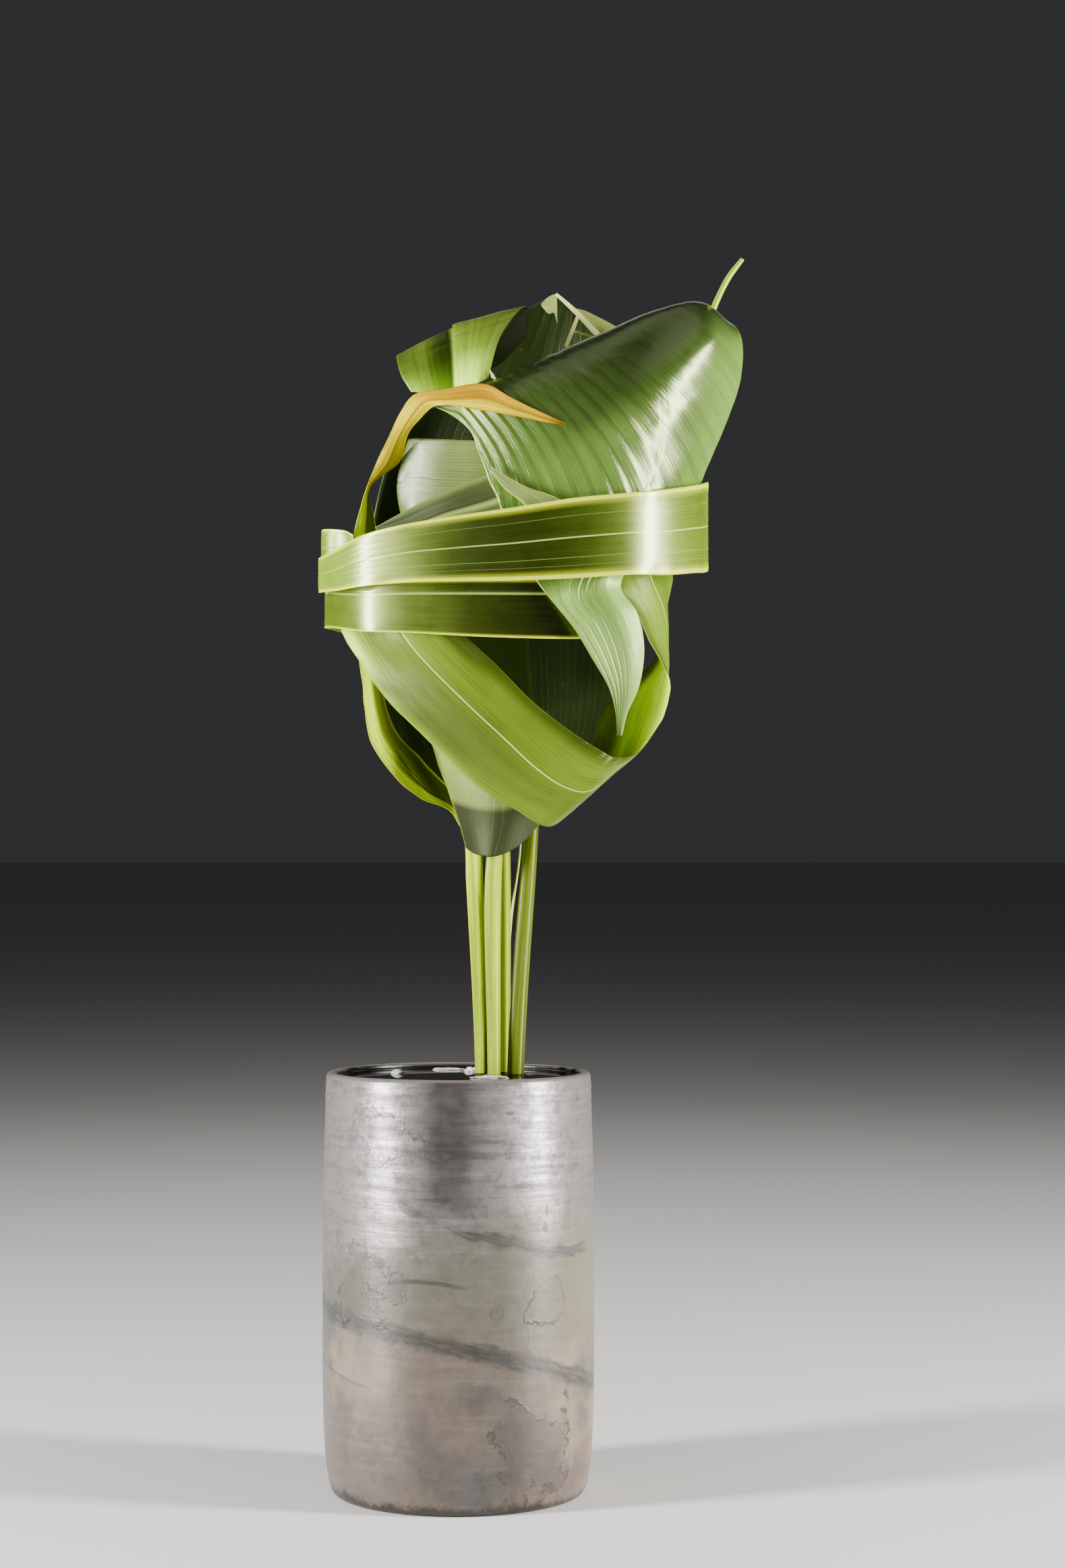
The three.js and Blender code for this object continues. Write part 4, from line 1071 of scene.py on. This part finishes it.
def vase_material(settings):
    """Raku-like glaze: silvery lustre with throwing veils above, tan and smoke below, drifts and stains;
    painted shade on the front and painted light towards the sides, a painted dark reflection on the upper
    front, and a painted shadow line round the foot.
    """
    material, sheet, shader = new_material("vase_glaze")
    place = sheet.place()
    x, y, height = sheet.split(place)
    angle = sheet.math("ARCTAN2", x, y * -1.0)
    cloud, fine = sheet.noise(place, 16.0, 5, 0.62), sheet.noise(place, 160.0, 4, 0.7)
    veils = sheet.noise(sheet.vector(x * 17.0, y * 17.0, height * 210.0), 1.6, 5, 0.68)
    lifted = (cloud - 0.5) * 0.11 + height
    upper = lifted.smooth(0.098, 0.142)
    facing, flank = abs(angle).smooth(1.3, 0.2), abs(angle).smooth(3.0, 2.0)

    # Painted dark reflection: a soft dark patch on the front of the upper wall, standing for the dark room
    # mirrored in the lustre; it also dulls the lustre there.
    painted_dark_reflection = abs(angle + 0.06).smooth(0.48, 0.06) * lifted.smooth(0.090, 0.150) * 0.9
    dots = sheet.noise(sheet.vector(angle, height), 38.0, 3, 0.7).smooth(0.48, 0.62)
    dots = sheet.use(line_group, Across=height, **DOT_ROW) * dots * (flank * 0.5)
    colour = glaze_zones(sheet, settings, angle, lifted, cloud, height, upper, flank)
    colour, outlines, dull = glaze_marks(sheet, settings, colour, angle, height, fine, painted_dark_reflection.most(dots))

    strength = upper * 0.7 + 0.12
    dark_veil = veils.smooth(0.48, 0.34) * strength
    colour = sheet.mix(dark_veil * 0.5, colour, dimmed(settings.mauve, 0.35))
    patches, specks = sheet.use(mottle_group, Vector=place, Scale=120.0, Speck_Scale=330.0)
    colour = sheet.mix(patches * 0.25, colour, dimmed(settings.mauve, 1.7))
    colour = sheet.mix(specks * 0.6, colour, PITTED)
    # Painted dark reflection on the upper front.
    colour = sheet.mix(painted_dark_reflection, colour, dimmed(SMOKE, 0.4))
    colour = sheet.mix(dots * 0.8, colour, settings.burnt)
    # Painted shade and light: the glaze is darkened where it faces the front and lightened towards the sides,
    # less so in the upper part.
    colour = sheet.scale(colour, facing * (upper * 0.5 - 0.85) + 1.5)

    lustre = veils.smooth(0.50, 0.68) * strength * 0.45 + (upper * 0.42 + 0.08)
    lustre = lustre * (fine.smooth(0.30, 0.60) * 0.6 + 0.4) * (outlines * -0.8 + 1.0)
    lustre = lustre * (dark_veil * -0.65 + 1.0) * (1.0 - dull)
    colour = sheet.mix(lustre, colour, settings.silver)

    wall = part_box("vase")[1].x
    radius = sheet.math("SQRT", x * x + y * y)
    within = radius.smooth(wall - 0.0045, wall - 0.0055) * height.smooth(0.012, 0.016)
    colour = sheet.mix(within, colour, settings.inside)
    rim = height.smooth(VASE_HEIGHT - 0.0016, VASE_HEIGHT)
    colour = sheet.mix(rim * 0.5, colour, WORN)
    # Painted shadow: a ragged dark line round the foot, where the vase meets the floor, in the colour of the
    # burnt lines.
    foot = (fine * 0.010 + (cloud * 0.014 + height)).smooth(0.0180, 0.0140)
    colour = sheet.mix(foot * 0.8, colour, settings.burnt)

    rough = facing * 0.04 + (upper * -0.06 + (fine * 0.18 + 0.27))
    relief = outlines * 0.5 + (veils * (strength * 1.6) + fine)
    sheet.set(shader, Base_Color=colour, Metallic=lustre * (1.0 - within.most(foot)), Roughness=rough,
              Specular_IOR_Level=0.4, Normal=sheet.bump(relief, 0.00022, 0.8))
    return material


VASE_SIDES = 192
WALL_STEPS = 240
RIM_ROUNDING = 0.0012
RIM_STEPS = 8
# The foot's rounded edge: how far each point lies within the foot's first ring, and its height.
FOOT_EDGE = ((0.0022, 0.0), (0.0007, 0.0003))
FOOT_RAGGED = 0.00012


class IKEBANA_OT_vase(bpy.types.Operator):
    """Build the thrown vase: the turned wall with its throwing lines, soft foot and slightly uneven rim"""

    bl_idname = "ikebana.vase"
    bl_label = "Vase"

    def execute(self, context):
        settings = context.scene.ikebana_vase
        outer, inner = outline("vase"), outline("vase", outer=False)
        wall = smooth_through([(r, 0, z) for r, z in outer], np.linspace(0, 1, WALL_STEPS))
        profile = [(0, 0)] + [(outer[0][0] - inset, z) for inset, z in FOOT_EDGE]
        profile += [(r, z) for r, _, z in wall if z < VASE_HEIGHT - RIM_ROUNDING]
        lip = [r for r, z in outer if z > VASE_HEIGHT - 0.0015][0]
        half = (lip - min(r for r, z in inner if z > VASE_HEIGHT - 0.02)) / 2
        for turn in np.linspace(0, math.pi, RIM_STEPS + 1):
            profile.append((lip - half + half * math.cos(turn),
                            VASE_HEIGHT - RIM_ROUNDING + RIM_ROUNDING * math.sin(turn)))
        profile += [(r, z) for r, z in reversed(inner) if z < VASE_HEIGHT - 0.004]
        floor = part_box("water")[0].z - CLEARANCE
        profile += [(inner[0][0] - 0.001, floor), (0, floor)]
        points, faces = turned_shell(profile, VASE_SIDES)
        heights, angles = points[:, 2].copy(), np.arctan2(points[:, 1], points[:, 0])
        radii = np.hypot(points[:, 0], points[:, 1])
        outside = step_between(radii, 0.050, 0.0545) * step_between(heights, 0.004, 0.02)
        lines = wander(heights * 1500, 11, 5) * 0.5 + wander(heights * 420 + 0.4 * np.sin(angles), 5, 4) * 0.5
        lines = lines * (0.3 + 0.7 * step_between(heights, 0.10, 0.15))
        drop = settings.throwing_depth * (1 + lines) * outside
        drop += FOOT_RAGGED * (1 + wander(angles * 3, 23, 3)) * step_between(heights, 0.02, 0.01)
        points[:, :2] *= ((radii - drop) / np.maximum(radii, 1e-9))[:, None]
        near_rim = step_between(heights, 0.165, VASE_HEIGHT)
        points[:, 2] -= settings.rim_waver * near_rim * (0.5 + 0.5 * wander(angles * 2, 31, 3)) ** 2
        make_piece("vase_body", points, faces, vase_material(settings), ("vase",))
        return {"FINISHED"}


WATER_SIDES = 180
WATER_RINGS = 80
WATER_IOR = 1.33
DUST = (0.30, 0.30, 0.24)
# How fast the meniscus falls away from the wall and from a stem.
WALL_MENISCUS, STEM_MENISCUS = 0.0012, 0.0011


class IKEBANA_OT_water(bpy.types.Operator):
    """Build the dark water, which climbs a little at the stems and the wall"""

    bl_idname = "ikebana.water"
    bl_label = "Water"

    def execute(self, context):
        settings = context.scene.ikebana_water
        material, sheet, shader = new_material("water_finish")
        place = sheet.place()
        film, dust = sheet.use(mottle_group, Vector=place, Scale=45.0, Speck_Scale=520.0)
        colour = sheet.mix(film * 0.35, settings.depth_colour, dimmed(settings.depth_colour, 3.0))
        sheet.set(shader, Base_Color=sheet.mix(dust * 0.5, colour, DUST), Roughness=dust * 0.4 + 0.03,
                  IOR=WATER_IOR, Normal=sheet.bump(sheet.noise(place, 30.0, 1), 0.0002, 0.15))

        radii, heights = zip(*outline("vase", outer=False))
        reach = float(np.interp(WATER_LEVEL, heights, radii)) - CLEARANCE
        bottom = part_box("water")[0].z
        profile = [(0, bottom), (radii[0] - 0.001 - CLEARANCE, bottom)]
        profile += [(r - CLEARANCE, z) for r, z in zip(radii, heights) if z < WATER_LEVEL - 0.001]
        profile += [(r, WATER_LEVEL) for r in np.linspace(reach, reach / WATER_RINGS, WATER_RINGS)]
        points, faces = turned_shell(profile + [(0, WATER_LEVEL)], WATER_SIDES)
        on_top = points[:, 2] > WATER_LEVEL - 1e-6
        climb = np.exp(-(reach - np.hypot(points[:, 0], points[:, 1])) / WALL_MENISCUS)
        for _, (x, y, _, radius), *_ in STALKS.values():
            gap = np.hypot(points[:, 0] - x * MM, points[:, 1] - y * MM) - radius * MM
            climb = np.maximum(climb, np.exp(-np.maximum(gap, 0) / STEM_MENISCUS))
        points[:, 2] += np.where(on_top, climb * settings.climb, 0)
        make_piece("water_body", points, faces, material, ("water",))
        return {"FINISHED"}


DARK_LEAD, LIGHT_LEAD, BRASS = (0.10, 0.11, 0.12), (0.22, 0.23, 0.24), (0.62, 0.45, 0.20)
PIN_LENGTH = 0.011


class IKEBANA_OT_pin_holder(bpy.types.Operator):
    """Give the pin holder its dull cast metal"""

    bl_idname = "ikebana.pin_holder"
    bl_label = "Pin Holder"

    def execute(self, context):
        material, sheet, shader = new_material("pin_holder_metal")
        place = sheet.place()
        patches, _ = sheet.use(mottle_group, Vector=place, Scale=90.0, Speck_Scale=400.0)
        _, _, height = sheet.split(place)
        plate_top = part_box("pin_holder")[1].z - PIN_LENGTH
        lead = sheet.mix(patches, DARK_LEAD, LIGHT_LEAD)
        colour = sheet.mix(height.smooth(plate_top - 0.001, plate_top), lead, BRASS)
        sheet.set(shader, Base_Color=colour, Metallic=1.0, Roughness=patches * 0.2 + 0.4,
                  Normal=sheet.bump(patches, 0.0002, 0.5))
        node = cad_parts["pin_holder"]
        node.data.materials.clear()
        node.data.materials.append(material)
        return {"FINISHED"}


# What floats: place on the water in millimetres, half sizes in millimetres, colour, and how rough it is.
FLOATING = {
    "float_dome": ((-27, 18), (3.0, 2.5, 1.7), (0.70, 0.71, 0.66), 0.14),
    "float_flake": ((-5, 40), (6.6, 2.6, 0.8), (0.52, 0.51, 0.44), 0.35),
    "float_crumb": ((6, 30), (2.9, 2.4, 1.6), (0.70, 0.66, 0.58), 0.60),
    "float_film": ((13.5, -11), (7.0, 3.2, 1.0), (0.55, 0.57, 0.52), 0.40),
}
FLOAT_RINGS, FLOAT_SIDES = 14, 28
FLOAT_RISE = 0.0002


class IKEBANA_OT_floating_bits(bpy.types.Operator):
    """Build the small pale bits that float on the water"""

    bl_idname = "ikebana.floating_bits"
    bl_label = "Floating Bits"

    def execute(self, context):
        for number, (name, (spot, size, tint, lumpy)) in enumerate(FLOATING.items()):
            lift = np.linspace(-0.5 * math.pi, 0.5 * math.pi, FLOAT_RINGS + 2)
            ball, faces = turned_shell(list(zip(np.cos(lift), np.sin(lift))), FLOAT_SIDES)
            rough = (wander(ball @ np.array([5.0, 3.1, 4.2]), 40 + number)
                     + wander(ball @ np.array([-3.3, 6.1, 2.2]), 50 + number))
            ball *= (1 + 0.5 * lumpy * rough)[:, None]
            points = ball * np.array(size) * MM + (spot[0] * MM, spot[1] * MM, WATER_LEVEL + FLOAT_RISE)
            material, sheet, shader = new_material(name + "_finish")
            grain, _ = sheet.use(mottle_group, Vector=sheet.place(), Scale=420.0, Speck_Scale=900.0)
            sheet.set(shader, Base_Color=sheet.mix(grain, dimmed(tint, 0.75), dimmed(tint, 1.1)),
                      Roughness=grain * 0.2 + 0.3, Normal=sheet.bump(grain, 0.0003, 0.6))
            make_piece(name, points, faces, material)
        return {"FINISHED"}


# Stage

FLOOR_HALF = 40.0
MIDDLE = Vector((0.02, -0.01, 0.28))
# Soft lights: azimuth to the viewer's right of the camera and elevation in degrees, distance from the
# middle, width and height, which power, and colour.
LIGHTS = {
    "light_left": (-67, 9, 1.35, (0.20, 0.98), "side_power", (1.0, 0.985, 0.96)),
    "light_right": (72, 9, 1.35, (0.20, 0.98), "side_power", (1.0, 0.985, 0.96)),
    "light_top": (10, 80, 1.4, (0.9, 0.9), "top_power", (1.0, 1.0, 1.0)),
    "light_back": (180, 35, 1.6, (0.9, 0.9), "top_power", (1.0, 1.0, 1.0)),
}


class IKEBANA_OT_stage(bpy.types.Operator):
    """Build the plain floor, the soft lights and the camera"""

    bl_idname = "ikebana.stage"
    bl_label = "Stage"

    def execute(self, context):
        settings = context.scene.ikebana_stage
        material, sheet, shader = new_material("floor_finish")
        tone = sheet.noise(sheet.place(), 3.0)
        colour = sheet.mix(tone, dimmed(settings.floor, 0.97), settings.floor)
        sheet.set(shader, Base_Color=colour, Roughness=0.85)
        corners = ((-FLOOR_HALF, -FLOOR_HALF), (FLOOR_HALF, -FLOOR_HALF), (FLOOR_HALF, FLOOR_HALF),
                   (-FLOOR_HALF, FLOOR_HALF))
        floor = make_object("floor", [(x, y, FLOOR_TOP) for x, y in corners], [(0, 1, 2, 3)], material)

        world = bpy.data.worlds.new("studio")
        world.use_nodes = True
        background = world.node_tree.nodes["Background"]
        background.inputs["Color"].default_value = (0.93, 0.95, 1.0, 1)
        background.inputs["Strength"].default_value = settings.ambient
        context.scene.world = world

        for name, (azimuth, elevation, distance, size, power, colour) in LIGHTS.items():
            light = bpy.data.lights.new(name, "AREA")
            light.shape = "RECTANGLE"
            light.size, light.size_y = size
            light.energy = getattr(settings, power)
            light.color = colour
            turn, lift = math.radians(azimuth), math.radians(elevation)
            away = Vector((math.sin(turn) * math.cos(lift), -math.cos(turn) * math.cos(lift), math.sin(lift)))
            self.put(context, name, light, MIDDLE + away * distance, away.to_track_quat("Z", "Y").to_euler())

        camera = bpy.data.cameras.new("camera")
        camera.lens = CAMERA_LENS
        context.scene.camera = self.put(context, "camera", camera, (0, -CAMERA_DISTANCE, CAMERA_HEIGHT),
                                        (math.pi / 2 + CAMERA_TILT, 0, -CAMERA_TURN))
        return {"FINISHED"}

    @staticmethod
    def put(context, name, data, location, rotation):
        """An object for a light or the camera, linked and placed."""
        holder = bpy.data.objects.new(name, data)
        holder.location, holder.rotation_euler = location, rotation
        context.scene.collection.objects.link(holder)
        return holder


SETTINGS = {
    "ikebana_leaves": LeafSettings,
    "ikebana_vase": VaseSettings,
    "ikebana_water": WaterSettings,
    "ikebana_stage": StageSettings,
}
STEPS = (
    IKEBANA_OT_stage, IKEBANA_OT_vase, IKEBANA_OT_water, IKEBANA_OT_pin_holder, IKEBANA_OT_floating_bits,
    IKEBANA_OT_wrapped_leaves, IKEBANA_OT_ribbed_leaf, IKEBANA_OT_front_leaves, IKEBANA_OT_inner_leaves,
    IKEBANA_OT_torn_strips,
)


class IKEBANA_PT_panel(bpy.types.Panel):
    """Sidebar panel with the settings and the steps of the arrangement"""

    bl_label = "Ikebana Arrangement"
    bl_idname = "IKEBANA_PT_panel"
    bl_space_type = "VIEW_3D"
    bl_region_type = "UI"
    bl_category = "Ikebana"

    def draw(self, context):
        for holder, settings in SETTINGS.items():
            box = self.layout.box()
            box.label(text=settings.__name__.replace("Settings", ""))
            for key in settings.__annotations__:
                box.prop(getattr(context.scene, holder), key)
        for step in STEPS:
            self.layout.operator(step.bl_idname)


def register():
    for cls in (*SETTINGS.values(), *STEPS, IKEBANA_PT_panel):
        bpy.utils.register_class(cls)
    for holder, settings in SETTINGS.items():
        setattr(bpy.types.Scene, holder, bpy.props.PointerProperty(type=settings))


def unregister():
    for holder in SETTINGS:
        delattr(bpy.types.Scene, holder)
    for cls in (IKEBANA_PT_panel, *reversed(STEPS), *SETTINGS.values()):
        bpy.utils.unregister_class(cls)


def main():
    register()
    for step in STEPS:
        family, name = step.bl_idname.split(".")
        getattr(getattr(bpy.ops, family), name)()


if __name__ == "__main__":
    main()
